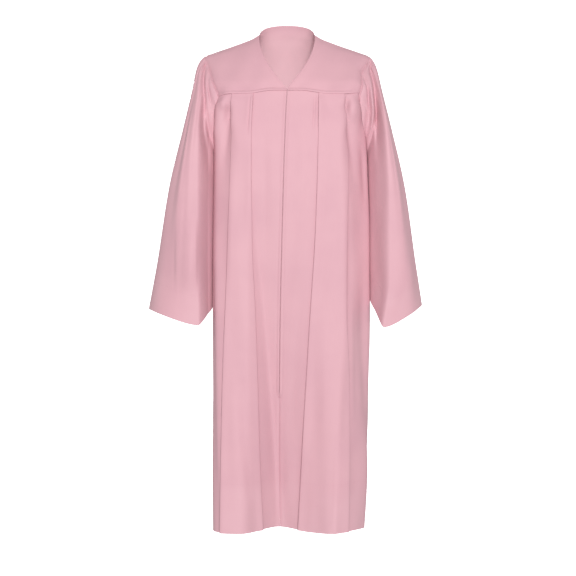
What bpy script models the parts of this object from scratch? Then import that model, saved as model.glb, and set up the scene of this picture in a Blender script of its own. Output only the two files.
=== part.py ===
"""Choir robe, worn: a yoke over the shoulders, two pleated fronts that meet on a zip, a pleated back, two bell sleeves.

Metres, +Z up. The wearer faces -Y, so the wearer's right side is at -X.
The origin lies midway between the shoulder tops, at the base of the neck, where the wearer carries the robe.
Every cloth piece is an open sheet, worked out from the tables below, that Solidify turns into a wall.
"""

import math

import bmesh
import bpy
import numpy as np

# Cloth and seams
WALL = 0.0010
SEAM_GAP = 0.0005
SHOULDER_GAP = 0.0012
ZIP_SLIT = 0.0018
ARMHOLE_GAP = 0.0009
UNDERARM_GAP = 0.0016
RIGHT, LEFT = -1, 1

# Heights
HEM_Z = -1.244
SHOULDER_Z = 0.0040
YOKE_SEAM_Z = -0.1505
YOKE_SEAM_DROP = 0.0080
YOKE_SEAM_LEVEL = (0.035, 0.100)
UNDERARM_Z = -0.300
ZIP_TOP_Z = -0.1600
ZIP_END_Z = -0.9150

# Where the yoke seam meets the armhole, out from the centre
CORNER_OUT = 0.1775

# Closed zip behind the centre front
TAPE_THICK = 0.0010
TAPE_GAP = 0.0008
SLIDER_SIZE = (0.0086, 0.0036, 0.0110)
SLIDER_DROP = 0.0130
SLIDER_ROUND = 0.0008

PINK = (0.72, 0.40, 0.45, 1.0)
TAPE_PINK = (0.62, 0.33, 0.38, 1.0)


def ease(value):
    """0 below 0, 1 above 1, and a smooth step between."""
    t = np.clip(value, 0.0, 1.0)
    return t * t * (3.0 - 2.0 * t)


class Table:
    """A short table with named columns, read between its rows along a smooth curve with no overshoot."""

    def __init__(self, columns, rows):
        names = columns.split()
        data = np.array(sorted(rows), float)
        self.keys = data[:, 0]
        steps = np.diff(self.keys)
        self.column = {name: data[:, i] for i, name in enumerate(names)}
        self.slope = {}
        for name, values in self.column.items():
            rise = np.diff(values) / steps
            slope = np.zeros(len(values))
            slope[0], slope[-1] = rise[0], rise[-1]
            for i in range(1, len(rise)):
                if rise[i - 1] * rise[i] > 0:
                    slope[i] = 2.0 * rise[i - 1] * rise[i] / (rise[i - 1] + rise[i])
            self.slope[name] = slope

    def at(self, key, name):
        key = min(max(key, self.keys[0]), self.keys[-1])
        i = int(min(np.searchsorted(self.keys, key, side="right") - 1, len(self.keys) - 2))
        step = self.keys[i + 1] - self.keys[i]
        t = (key - self.keys[i]) / step
        values, slopes = self.column[name], self.slope[name]
        return (
            values[i] * (1 + 2 * t) * (1 - t) ** 2
            + slopes[i] * step * t * (1 - t) ** 2
            + values[i + 1] * t * t * (3 - 2 * t)
            + slopes[i + 1] * step * t * t * (t - 1)
        )


# The body's plan outline at each height: a rounded oblong, before folds
BODY = Table(
    "z middle_x half_width front back square",
    (
        (-0.100, 0.000, 0.1890, 0.1080, 0.1160, 5.0),
        (-0.150, 0.000, 0.1900, 0.1160, 0.1240, 5.0),
        (-0.230, 0.005, 0.1905, 0.1340, 0.1350, 4.2),
        (-0.330, 0.010, 0.1930, 0.1450, 0.1400, 3.6),
        (-0.500, 0.011, 0.1960, 0.1490, 0.1420, 3.4),
        (-0.700, 0.011, 0.1980, 0.1520, 0.1460, 3.5),
        (-0.950, 0.010, 0.1975, 0.1580, 0.1530, 3.9),
        (HEM_Z, 0.007, 0.1930, 0.1665, 0.1630, 4.4),
    ),
)

# The line of the zip and of the centre front seam below it
CENTRE_FRONT = Table(
    "z x",
    (
        (-0.145, 0.0010),
        (-0.180, -0.0015),
        (-0.300, -0.0062),
        (-0.500, -0.0120),
        (-0.720, -0.0170),
        (-0.900, -0.0192),
        (-1.050, -0.0205),
        (HEM_Z, -0.0165),
    ),
)

# The fronts sink between their inner pleats, more and more towards the hem
VALLEY = Table(
    "z bottom_x depth right_rim left_rim",
    (
        (-0.400, -0.0880, 0.0000, -0.0960, 0.0780),
        (-0.514, -0.0780, 0.0100, -0.0990, 0.0800),
        (-0.720, -0.0560, 0.0260, -0.0950, 0.0900),
        (-0.920, -0.0400, 0.0450, -0.0960, 0.1120),
        (-1.080, -0.0290, 0.0630, -0.1010, 0.1320),
        (HEM_Z, -0.0210, 0.0800, -0.1080, 0.1480),
    ),
)
VALLEY_SOFTNESS = 0.16

# The folded edges of the knife pleats: distance out from the centre, and depth of the lap under them
RIGHT_INNER = Table(
    "z out lap",
    (
        (-0.150, 0.0845, 0.0100),
        (-0.256, 0.0890, 0.0100),
        (-0.514, 0.0893, 0.0090),
        (-0.720, 0.0813, 0.0080),
        (-0.920, 0.0764, 0.0070),
        (-1.116, 0.0713, 0.0060),
        (HEM_Z, 0.0664, 0.0050),
    ),
)
RIGHT_OUTER = Table(
    "z out lap",
    (
        (-0.150, 0.1365, 0.0100),
        (-0.310, 0.1370, 0.0100),
        (-0.550, 0.1440, 0.0090),
        (-0.720, 0.1500, 0.0080),
        (-0.920, 0.1560, 0.0070),
        (HEM_Z, 0.1600, 0.0050),
    ),
)
LEFT_INNER = Table(
    "z out lap",
    (
        (-0.150, 0.0802, 0.0100),
        (-0.320, 0.0772, 0.0100),
        (-0.514, 0.0710, 0.0090),
        (-0.720, 0.0587, 0.0080),
        (-0.920, 0.0483, 0.0070),
        (-1.080, 0.0400, 0.0060),
        (HEM_Z, 0.0328, 0.0050),
    ),
)
LEFT_OUTER = Table(
    "z out lap",
    (
        (-0.150, 0.1420, 0.0100),
        (-0.320, 0.1490, 0.0100),
        (-0.550, 0.1460, 0.0090),
        (-0.720, 0.1440, 0.0080),
        (-0.920, 0.1470, 0.0070),
        (HEM_Z, 0.1570, 0.0050),
    ),
)
BACK_INNER = Table(
    "z out lap",
    (
        (-0.150, 0.0480, 0.0100),
        (-0.400, 0.0500, 0.0095),
        (-0.750, 0.0540, 0.0080),
        (-1.000, 0.0580, 0.0070),
        (HEM_Z, 0.0620, 0.0050),
    ),
)
BACK_OUTER = Table(
    "z out lap",
    (
        (-0.150, 0.1150, 0.0100),
        (-0.400, 0.1190, 0.0095),
        (-0.750, 0.1260, 0.0080),
        (-1.000, 0.1320, 0.0070),
        (HEM_Z, 0.1380, 0.0050),
    ),
)

# From one layer of a pleat to the next: pressed flat under the yoke, looser towards the hem
LAYER = Table("z step", ((-0.150, 0.00140), (-0.400, 0.00160), (HEM_Z, 0.00240)))

# Soft folds: bearing round the body in degrees, 0 in front and positive to the wearer's left; depth is inwards, so a
# negative one stands out; each starts at one height, is deepest at the next and has died away at the last
SOFT_FOLDS = (
    # top bearing, hem bearing, spread, depth, start z, deepest z, end z
    (-52.5, -51.0, 3.6, 0.0090, -0.165, -0.205, -0.420),
    (-60.5, -60.0, 3.4, -0.0050, -0.160, -0.195, -0.300),
    (51.0, 53.0, 3.2, 0.0080, -0.165, -0.200, -0.400),
    (59.0, 62.0, 3.4, -0.0050, -0.160, -0.195, -0.300),
    (62.0, 66.0, 3.5, 0.0060, -0.260, -0.345, -0.480),
    (57.0, 74.0, 5.0, 0.0070, -0.560, -0.860, -1.600),
    (-88.0, -92.0, 15.0, 0.0240, -0.450, -1.244, -1.600),
    (90.0, 94.0, 15.0, 0.0260, -0.450, -1.244, -1.600),
    (-145.0, -152.0, 10.0, 0.0380, -0.320, -1.244, -1.600),
    (146.0, 151.0, 10.0, 0.0400, -0.320, -1.244, -1.600),
    (-179.0, -176.0, 8.0, 0.0300, -0.500, -1.244, -1.600),
    (-120.0, -124.0, 6.0, 0.0120, -0.700, -1.244, -1.600),
    (121.0, 118.0, 6.0, 0.0120, -0.620, -1.244, -1.600),
)

# Yoke edges: distance out from the centre plane, y, z
NECK_SIDE = (0.0717, 0.000, SHOULDER_Z)
SHOULDER_TIP = (0.2115, 0.008, -0.0490)
SHOULDER_LINE = (
    NECK_SIDE,
    (0.0900, 0.002, -0.0065),
    (0.1300, 0.004, -0.0215),
    (0.1700, 0.006, -0.0350),
    SHOULDER_TIP,
)
FRONT_NECKLINE = (
    NECK_SIDE,
    (0.0713, -0.018, -0.0100),
    (0.0699, -0.033, -0.0225),
    (0.0623, -0.057, -0.0504),
    (0.0541, -0.072, -0.0684),
    (0.0459, -0.083, -0.0850),
    (0.0372, -0.092, -0.0986),
    (0.0160, -0.108, -0.1270),
    (0.0019, -0.1150, -0.1462),
)
BACK_NECKLINE = (
    NECK_SIDE,
    (0.0690, 0.0180, 0.0125),
    (0.0640, 0.0330, 0.0215),
    (0.0500, 0.0490, 0.0310),
    (0.0250, 0.0585, 0.0372),
    (0.0000, 0.0605, 0.0385),
)
FRONT_ARMHOLE = (
    SHOULDER_TIP,
    (0.2085, -0.010, -0.0550),
    (0.2030, -0.028, -0.0710),
    (0.1950, -0.052, -0.0980),
    (0.1862, -0.078, -0.1280),
)
BACK_ARMHOLE = (
    SHOULDER_TIP,
    (0.2090, 0.026, -0.0560),
    (0.2030, 0.048, -0.0740),
    (0.1950, 0.070, -0.1000),
    (0.1868, 0.088, -0.1280),
)

# Sleeve sections down its length: the outer edge, the fold in front next to the body, the inner side and the back
SLEEVE_COLUMNS = "t outer_x outer_z fold_x fold_y fold_z inner_x inner_z back_x back_y back_z"
SLEEVES = {
    RIGHT: Table(
        SLEEVE_COLUMNS,
        (
            (0.00, 0.2125, -0.050, 0.204, -0.028, -0.072, 0.186, -0.302, 0.204, 0.048, -0.074),
            (0.08, 0.2290, -0.076, 0.209, -0.062, -0.112, 0.1875, -0.318, 0.206, 0.078, -0.115),
            (0.17, 0.2435, -0.138, 0.212, -0.090, -0.180, 0.1885, -0.345, 0.209, 0.101, -0.180),
            (0.32, 0.2650, -0.232, 0.213, -0.108, -0.270, 0.1895, -0.395, 0.213, 0.114, -0.262),
            (0.55, 0.2995, -0.382, 0.213, -0.116, -0.420, 0.1910, -0.478, 0.219, 0.121, -0.390),
            (0.82, 0.3328, -0.580, 0.212, -0.119, -0.622, 0.1910, -0.600, 0.228, 0.124, -0.560),
            (1.00, 0.3510, -0.686, 0.211, -0.120, -0.7342, 0.1905, -0.688, 0.236, 0.125, -0.662),
        ),
    ),
    LEFT: Table(
        SLEEVE_COLUMNS,
        (
            (0.00, 0.2125, -0.050, 0.204, -0.028, -0.072, 0.193, -0.302, 0.204, 0.048, -0.074),
            (0.08, 0.2275, -0.076, 0.212, -0.060, -0.110, 0.2020, -0.318, 0.208, 0.078, -0.115),
            (0.17, 0.2420, -0.138, 0.223, -0.088, -0.178, 0.2090, -0.345, 0.214, 0.101, -0.180),
            (0.32, 0.2655, -0.235, 0.233, -0.107, -0.270, 0.2125, -0.395, 0.221, 0.114, -0.262),
            (0.55, 0.2985, -0.385, 0.240, -0.115, -0.420, 0.2140, -0.478, 0.230, 0.121, -0.390),
            (0.82, 0.3280, -0.580, 0.243, -0.118, -0.622, 0.2145, -0.590, 0.239, 0.124, -0.560),
            (1.00, 0.3430, -0.676, 0.238, -0.119, -0.7390, 0.2150, -0.672, 0.246, 0.125, -0.660),
        ),
    ),
}

# Round a sleeve in steps of a tenth: 0 outer edge, 2.5 front fold, 5 inner side, 7.5 back
# The armhole seam takes the outer half of the cloth in a short stretch, PIN of the way from shoulder tip to corner
SLEEVE_PIN = 0.30
SLEEVE_HEAD = 0.35
SLEEVE_ROUND = 0.86
SLEEVE_HEM_BOW = 1.12

# Gathers at the sleeve head: place, half width, height, and how far down the sleeve it dies away
GATHERS = (
    (-0.95, 0.24, 0.0030, 0.30),
    (0.00, 0.22, 0.0022, 0.16),
    (0.95, 0.24, 0.0030, 0.34),
    (2.22, 0.13, 0.0052, 0.26),
    (2.50, 0.12, 0.0056, 0.30),
    (2.78, 0.12, 0.0048, 0.24),
    (7.22, 0.12, 0.0048, 0.24),
    (7.50, 0.12, 0.0056, 0.30),
    (7.78, 0.13, 0.0052, 0.26),
)

# Long folds down a sleeve: place at the top, place at the hem, half width, depth, start, deepest, end
SLEEVE_FOLDS = (
    (1.25, 1.35, 0.22, 0.0060, 0.10, 0.35, 0.95),
    (0.72, 0.62, 0.26, -0.0045, 0.12, 0.45, 1.05),
    (8.60, 8.50, 0.26, 0.0070, 0.12, 0.50, 1.20),
    (9.20, 9.15, 0.24, -0.0050, 0.15, 0.55, 1.10),
)

# How finely each sheet is divided
BEARINGS = np.arange(-180.0, 180.0, 0.5)
LEVELS = np.linspace(-0.145, HEM_Z, 90)
CENTRE_SHARES = np.array([0.0, 0.03, 0.14, 0.31, 0.50, 0.69, 0.86])
TOP_SHARES = np.array([0.35, 0.68])
BAND_SHARES = np.array([0.2, 0.4, 0.6, 0.8, 1.0])
SIDE_SHARES = 1.0 - np.cos(np.radians(np.array([15.0, 30.0, 45.0, 60.0, 75.0, 90.0])))
ROW_SHARES = np.array([0, 0.012, 0.03, 0.06, 0.10, 0.155, 0.23, 0.32, 0.42, 0.52, 0.61, 0.70, 0.80, 0.90, 1.0])
ZIP_ROWS = slice(1, 12)
ZIP_COLUMNS = slice(0, 3)
SLEEVE_ROWS = np.array([0, 0.02, 0.045, 0.08, 0.12, 0.17, 0.25, 0.36, 0.50, 0.66, 0.83, 1.0])
SLEEVE_STEPS = np.array(
    [-0.95, -0.68, -0.3, 0, 0.3, 0.68, 0.95, 1.25, 1.65, 2.05, 2.22, 2.36, 2.5, 2.64, 2.78, 2.95, 3.35]
    + [4.0, 5.0, 6.0, 6.65, 7.05, 7.22, 7.36, 7.5, 7.64, 7.78, 7.95, 8.3, 8.65]
)
YOKE_ROWS, YOKE_COLUMNS, NECK_COLUMNS = 8, 8, 8
BACK_YOKE_ROUNDS = 16


def inward(x, y):
    """Unit vectors into the body, square to a closed plan outline."""
    along = np.stack([np.roll(x, -1) - np.roll(x, 1), np.roll(y, -1) - np.roll(y, 1)], axis=1)
    along /= np.linalg.norm(along, axis=1)[:, None]
    return np.stack([-along[:, 1], along[:, 0]], axis=1)


def soft_ramp(value):
    """0 far below 0, the value itself far above, and a soft bend between."""
    soft = VALLEY_SOFTNESS
    return 0.5 * (value + np.sqrt(value**2 + soft**2)) - 0.5 * (math.sqrt(1.0 + soft**2) - 1.0)


def valley(x, z):
    """How far the fronts sink at x: a V from rim to rim, soft at its rims and its bottom."""
    bottom, depth = VALLEY.at(z, "bottom_x"), VALLEY.at(z, "depth")
    right, left = VALLEY.at(z, "right_rim"), VALLEY.at(z, "left_rim")
    from_right, from_left = (x - right) / (bottom - right), (left - x) / (left - bottom)
    apart = np.sqrt((from_right - from_left) ** 2 + VALLEY_SOFTNESS**2)
    down = 0.5 * (from_right + from_left - apart) / (1.0 - 0.5 * VALLEY_SOFTNESS)
    return depth * np.maximum(soft_ramp(down), 0.0)


def ring(z):
    """The body's plan outline at height z with its soft folds: x before the folds, points, and inward vectors."""
    bearing = np.radians(BEARINGS)
    in_front = np.abs(BEARINGS) <= 90.0
    depth = np.where(in_front, BODY.at(z, "front"), BODY.at(z, "back"))
    square, width = BODY.at(z, "square"), BODY.at(z, "half_width")
    reach = (
        (np.abs(np.sin(bearing)) / width) ** square + (np.abs(np.cos(bearing)) / depth) ** square
    ) ** (-1.0 / square)
    x = BODY.at(z, "middle_x") + reach * np.sin(bearing)
    y = -reach * np.cos(bearing)
    inwards = inward(x, y)
    sink = valley(x, z) * in_front
    for top_bearing, hem_bearing, spread, height, start_z, deepest_z, end_z in SOFT_FOLDS:
        amount = ease((start_z - z) / (start_z - deepest_z)) * ease((z - end_z) / (deepest_z - end_z))
        middle = top_bearing + (hem_bearing - top_bearing) * ease((start_z - z) / (start_z - HEM_Z))
        away = (BEARINGS - middle + 180.0) % 360.0 - 180.0
        sink = sink + height * amount * np.exp(-((away / spread) ** 2))
    points = np.stack([x, y], axis=1) + inwards * sink[:, None]
    return x, points, inward(points[:, 0], points[:, 1])


class Strip:
    """Half of the body's outline at one height, from the centre to the side seam, measured along the cloth."""

    def __init__(self, z, side, at_front):
        self.side = side
        x, points, inwards = ring(z)
        start_x = CENTRE_FRONT.at(z, "x") if at_front else 0.0
        bearing = BEARINGS if at_front else (BEARINGS + 360.0) % 360.0
        side_bearing = 90.0 * side if at_front else 180.0 - 90.0 * side
        centre_bearing = 0.0 if at_front else 180.0
        half = np.abs(bearing - centre_bearing) <= 90.0
        order = np.flatnonzero(half)
        order = order[np.argsort(x[order])]
        whole = np.concatenate([x[order][:, None], points[order], inwards[order]], axis=1)
        first = np.array([np.interp(start_x, whole[:, 0], whole[:, i]) for i in range(5)])
        chosen = order[(x[order] - start_x) * side > 1e-5]
        chosen = chosen[np.argsort(np.abs(bearing[chosen] - side_bearing))[::-1]]
        rest = np.concatenate([x[chosen][:, None], points[chosen], inwards[chosen]], axis=1)
        rows = np.concatenate([first[None], rest])
        self.out = np.maximum.accumulate(rows[:, 0] * side)
        self.points, self.inwards = rows[:, 1:3], rows[:, 3:5]
        steps = np.linalg.norm(np.diff(self.points, axis=0), axis=1)
        self.lengths = np.concatenate([[0.0], np.cumsum(steps)])
        self.end = self.lengths[-1]

    def where(self, out):
        """Length along the cloth to the line that lies this far out from the centre plane."""
        rising = self.out + np.arange(len(self.out)) * 1e-9
        return float(np.interp(out, rising, self.lengths))

    def plan(self, lengths, levels):
        """Plan points at these lengths along the cloth, moved inwards by their levels."""
        found = [np.interp(lengths, self.lengths, self.points[:, i]) for i in (0, 1)]
        into = np.stack([np.interp(lengths, self.lengths, self.inwards[:, i]) for i in (0, 1)], axis=1)
        into /= np.linalg.norm(into, axis=1)[:, None]
        return np.stack(found, axis=1) + into * np.asarray(levels)[:, None]


def yoke_seam_z(out):
    """The yoke seam runs level across the chest and rises a little to the centre."""
    low, high = YOKE_SEAM_LEVEL
    return YOKE_SEAM_Z - YOKE_SEAM_DROP * ease((np.asarray(out) - low) / (high - low))


def corner_share(side, at_front):
    """Share of the half outline at which the yoke seam ends at the armhole."""
    strip = Strip(float(yoke_seam_z(CORNER_OUT)), side, at_front)
    return strip.where(CORNER_OUT) / strip.end


def pleated_path(strip, z, start, inner, outer, corner):
    """Lengths and levels along one pleated half, centre to side seam: the box pleat stands out, so it is negative."""
    layer = LAYER.at(z, "step")
    turn = 0.8 * layer
    inner_at, inner_lap = strip.where(inner.at(z, "out")), inner.at(z, "lap")
    outer_at, outer_lap = strip.where(outer.at(z, "out")), outer.at(z, "lap")
    corner_at = corner * strip.end
    inner_end, outer_end = inner_at + inner_lap, outer_at - outer_lap
    under = start + (inner_at - start) * CENTRE_SHARES
    top = inner_end + (outer_end - inner_end) * TOP_SHARES
    band = outer_at + (corner_at - outer_at) * BAND_SHARES
    side = corner_at + (strip.end - SEAM_GAP / 2 - corner_at) * SIDE_SHARES
    runs = (
        (under, 0.0),
        ((inner_at, inner_end), 0.0),
        ((inner_end + turn,), -0.5),
        ((inner_end, inner_at), -1.0),
        ((inner_at - turn,), -1.5),
        ((inner_at, inner_end), -2.0),
        (top, -2.0),
        ((outer_end, outer_at), -2.0),
        ((outer_at + turn,), -1.5),
        ((outer_at, outer_end), -1.0),
        ((outer_end - turn,), -0.5),
        ((outer_end, outer_at), 0.0),
        (band, 0.0),
        (side, 0.0),
    )
    lengths = np.concatenate([np.asarray(run, float) for run, _ in runs])
    levels = np.concatenate([np.full(len(run), level * layer) for run, level in runs])
    return lengths, levels


def half_panel(side, at_front, inner, outer):
    """Columns of one pleated half from the centre to the side seam, each from the yoke or armhole to the hem."""
    corner = corner_share(side, at_front)
    plans = []
    for z in LEVELS:
        strip = Strip(z, side, at_front)
        slit = ZIP_SLIT / 2 if z > ZIP_END_Z else SEAM_GAP / 2
        start = slit if at_front else 0.0
        lengths, levels = pleated_path(strip, z, start, inner, outer, corner)
        plans.append(strip.plan(lengths, levels))
    plans = np.array(plans)
    under_yoke = plans.shape[1] - len(SIDE_SHARES)
    top_z = np.empty(plans.shape[1])
    top_z[:under_yoke] = yoke_seam_z(plans[1, :under_yoke, 0] * side)
    top_z[under_yoke:] = armhole_z(SIDE_SHARES)
    top_z -= SEAM_GAP / 2
    rising = LEVELS[::-1]
    grid = np.empty((len(ROW_SHARES), plans.shape[1], 3))
    for j in range(plans.shape[1]):
        z = top_z[j] + (HEM_Z - top_z[j]) * ROW_SHARES
        grid[:, j, 0] = np.interp(z, rising, plans[::-1, j, 0])
        grid[:, j, 1] = np.interp(z, rising, plans[::-1, j, 1])
        grid[:, j, 2] = z
    return grid


def armhole_z(share):
    """Height of the armhole's lower quarter, from the corner of the yoke (share 0) to the underarm (share 1)."""
    corner_z = float(yoke_seam_z(CORNER_OUT))
    return corner_z + (UNDERARM_Z - corner_z) * np.sqrt(1.0 - (1.0 - np.asarray(share)) ** 2)


def smooth_line(points, between=12):
    """A curve through the points, as a dense line, with the index of each point on it."""
    points = np.asarray(points, float)
    before = np.concatenate([[2 * points[0] - points[1]], points, [2 * points[-1] - points[-2]]])
    line = []
    for i in range(1, len(before) - 2):
        a, b, c, d = before[i - 1 : i + 3]
        for t in np.arange(between) / between:
            line.append(
                0.5 * (2 * b + (c - a) * t + (2 * a - 5 * b + 4 * c - d) * t**2 + (3 * b - a - 3 * c + d) * t**3)
            )
    line.append(points[-1])
    return np.array(line)


def along(line, shares):
    """Points at shares of a line's length."""
    lengths = np.concatenate([[0.0], np.cumsum(np.linalg.norm(np.diff(line, axis=0), axis=1))])
    wanted = np.asarray(shares) * lengths[-1]
    return np.stack([np.interp(wanted, lengths, line[:, i]) for i in range(3)], axis=1)


def on_side(points, side):
    return np.asarray(points, float) * (side, 1.0, 1.0)


def seam_point(side, out, at_front, lift=0.0):
    """A point of the yoke seam, at the level of the middle layer of the pleats."""
    z = float(yoke_seam_z(out))
    strip = Strip(z, side, at_front)
    level = -LAYER.at(z, "step")
    x, y = strip.plan(np.array([strip.where(out)]), [level])[0]
    return np.array([x, y, z + lift])


def split_line(back_points, front_points):
    """One smooth line through both lists, which share their first point, cut in two there."""
    between = 12
    line = smooth_line(list(back_points)[::-1] + list(front_points)[1:], between)
    cut = (len(back_points) - 1) * between
    return line[: cut + 1][::-1], line[cut:]


def neck_lines(side):
    """The neckline from the side of the neck to the centre: back half, front half."""
    behind = list(BACK_NECKLINE) + [(-BACK_NECKLINE[-2][0],) + BACK_NECKLINE[-2][1:]]
    back, front = split_line(behind, FRONT_NECKLINE)
    return on_side(back[: len(back) - 12], side), on_side(front, side)


def armhole_lines(side):
    """The armhole from the shoulder tip to the corners of the yoke: back, front."""
    front_corner = seam_point(side, CORNER_OUT, True) * (side, 1, 1)
    back_corner = seam_point(side, CORNER_OUT, False) * (side, 1, 1)
    back, front = split_line(BACK_ARMHOLE + (tuple(back_corner),), FRONT_ARMHOLE + (tuple(front_corner),))
    return on_side(back, side), on_side(front, side)


def patch(top, bottom, first, last, guide):
    """A sheet between four edges: columns run from top to bottom, and all bow the way the guide edge does."""
    u = np.linspace(0.0, 1.0, len(top))[None, :, None]
    bow = ((guide - guide[0]) / (guide[-1] - guide[0]))[:, None, :]
    base = top[None] + (bottom - top)[None] * bow
    return base + (1 - u) * (first[:, None] - base[:, :1]) + u * (last[:, None] - base[:, -1:])


def relaxed(grid, rounds):
    """The same sheet with its inner points eased towards their neighbours, its edges kept."""
    for _ in range(rounds):
        around = grid[:-2, 1:-1] + grid[2:, 1:-1] + grid[1:-1, :-2] + grid[1:-1, 2:]
        grid[1:-1, 1:-1] = 0.5 * grid[1:-1, 1:-1] + 0.125 * around
    return grid


def front_yoke(side):
    gap = np.array([0.0, -SHOULDER_GAP / 2, 0.0])
    lift = SEAM_GAP / 2
    shares = np.linspace(0.0, 1.0, YOKE_COLUMNS + 1)
    top = along(smooth_line(on_side(SHOULDER_LINE, side)), shares) + gap
    centre = CENTRE_FRONT.at(YOKE_SEAM_Z, "x") * side + ZIP_SLIT / 2
    outs = centre + (CORNER_OUT - centre) * shares
    bottom = np.array([seam_point(side, out, True, lift) for out in outs])
    neck = along(neck_lines(side)[1], np.linspace(0.0, 1.0, YOKE_ROWS)) + gap
    neck = np.concatenate([neck, bottom[:1]])
    arm = along(armhole_lines(side)[1], np.linspace(0.0, 1.0, YOKE_ROWS + 1)) + gap
    arm[-1] = bottom[-1]
    return patch(top, bottom, neck, arm, arm)


def back_yoke():
    gap = np.array([0.0, SHOULDER_GAP / 2, 0.0])
    lift = SEAM_GAP / 2
    shares = np.linspace(0.0, 1.0, YOKE_COLUMNS + 1)
    halves = []
    for side in (RIGHT, LEFT):
        shoulder = along(smooth_line(on_side(SHOULDER_LINE, side)), shares[::-1])
        neck = along(neck_lines(side)[0], np.linspace(0.0, 1.0, NECK_COLUMNS // 2 + 1))
        halves.append(np.concatenate([shoulder, neck[1:]]))
    top = np.concatenate([halves[0], halves[1][::-1][1:]]) + gap
    outs = np.linspace(-CORNER_OUT, CORNER_OUT, len(top))
    bottom = np.array([seam_point(RIGHT if out < 0 else LEFT, abs(out), False, lift) for out in outs])
    rows = np.linspace(0.0, 1.0, YOKE_ROWS + 1)
    first = along(armhole_lines(RIGHT)[0], rows) + gap
    last = along(armhole_lines(LEFT)[0], rows) + gap
    first[-1], last[-1] = bottom[0], bottom[-1]
    return relaxed(patch(top, bottom, first, last, first), BACK_YOKE_ROUNDS)


def lower_armhole(side, at_front):
    """The armhole from the corner of the yoke to the underarm."""
    corner = corner_share(side, at_front)
    points = []
    for angle in np.radians(np.linspace(0.0, 90.0, 19)):
        share = 1.0 - math.cos(angle)
        z = float(armhole_z(share))
        strip = Strip(z, side, at_front)
        x, y = strip.plan(np.array([(corner + (1.0 - corner) * share) * strip.end]), [0.0])[0]
        points.append((x, y, z))
    return np.array(points)


def sleeve_head(side, steps):
    """Points of the sleeve's head at steps round it, just outside the armhole."""
    back, front = armhole_lines(side)
    under_front, under_back = lower_armhole(side, True), lower_armhole(side, False)
    pin = SLEEVE_PIN

    def part(line, low, high):
        return along(line, np.linspace(low, high, 25))

    quarters = (
        part(front, 0.0, pin),
        np.concatenate([part(front, pin, 1.0), under_front[1:]]),
        np.concatenate([under_back[::-1], part(back, pin, 1.0)[::-1][1:]]),
        part(back, 0.0, pin)[::-1],
    )
    found = []
    for step in np.mod(steps, 10.0):
        quarter = min(int(step // 2.5), 3)
        found.append(along(quarters[quarter], [(step - 2.5 * quarter) / 2.5])[0])
    found = np.array(found)
    tangent = np.roll(found, -1, axis=0) - np.roll(found, 1, axis=0)
    tangent /= np.linalg.norm(tangent, axis=1)[:, None]
    outwards = np.array([side, 0.0, 0.0]) - tangent * (side * tangent[:, :1])
    outwards /= np.linalg.norm(outwards, axis=1)[:, None]
    low = ease((-0.12 - found[:, 2:]) / 0.06)
    return found + outwards * (ARMHOLE_GAP + (UNDERARM_GAP - ARMHOLE_GAP) * low)


def sleeve_section(side, t, steps):
    """Plain section of a sleeve at share t of its length: four quarters between its named points."""
    table = SLEEVES[side]
    at = {name: table.at(t, name) for name in SLEEVE_COLUMNS.split()[1:]}
    middle_y = 0.008
    outer = (at["outer_x"], middle_y, at["outer_z"])
    fold = (at["fold_x"], at["fold_y"], at["fold_z"])
    inner = (at["inner_x"], middle_y, at["inner_z"])
    back = (at["back_x"], at["back_y"], at["back_z"])
    found = []
    for step in np.mod(steps, 10.0):
        quarter = min(int(step // 2.5), 3)
        turn = math.radians(90.0 * (step / 2.5 - quarter))
        sideways, lengthways = ((outer, fold), (inner, fold), (inner, back), (outer, back))[quarter]
        if quarter % 2:
            turn = math.pi / 2 - turn
        c, s = math.cos(turn) ** SLEEVE_ROUND, math.sin(turn) ** SLEEVE_ROUND
        x = lengthways[0] + (sideways[0] - lengthways[0]) * c
        y = sideways[1] + (lengthways[1] - sideways[1]) * s
        z = sideways[2] + (lengthways[2] - sideways[2]) * ease(turn / (math.pi / 2)) ** SLEEVE_HEM_BOW
        found.append((side * x, y, z))
    return np.array(found)


def sleeve(side):
    """Rows of a sleeve from its head to its hem, each a closed round of points."""
    steps = SLEEVE_STEPS
    head = sleeve_head(side, steps)
    first = sleeve_section(side, 0.0, steps)
    grid = []
    for t in SLEEVE_ROWS:
        plain = sleeve_section(side, t, steps)
        row = head + plain - first + (first - head) * ease(t / SLEEVE_HEAD)
        middle = row.mean(axis=0) * (1, 1, 0)
        outwards = (row - middle) * (1, 1, 0)
        outwards /= np.linalg.norm(outwards, axis=1)[:, None]
        rise = np.zeros(len(steps))
        for place, width, height, end in GATHERS:
            away = (steps - place + 5.0) % 10.0 - 5.0
            amount = ease(t / 0.03) * (1.0 - ease((t - 0.05) / (end - 0.05)))
            rise += height * amount * np.exp(-((away / width) ** 2))
        for top_place, hem_place, width, depth, start, deepest, end in SLEEVE_FOLDS:
            away = (steps - (top_place + (hem_place - top_place) * t) + 5.0) % 10.0 - 5.0
            amount = ease((t - start) / (deepest - start)) * (1.0 - ease((t - deepest) / (end - deepest)))
            rise -= depth * amount * np.exp(-((away / width) ** 2))
        grid.append(row + outwards * rise[:, None])
    return np.array(grid)


def material(name, colour, roughness):
    found = bpy.data.materials.new(name)
    found.use_nodes = True
    shader = found.node_tree.nodes["Principled BSDF"]
    shader.inputs["Base Color"].default_value = colour
    shader.inputs["Roughness"].default_value = roughness
    return found


def add_object(name, mesh, finish, collection):
    mesh.materials.append(finish)
    mesh.shade_smooth()
    made = bpy.data.objects.new(name, mesh)
    collection.objects.link(made)
    return made


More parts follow.
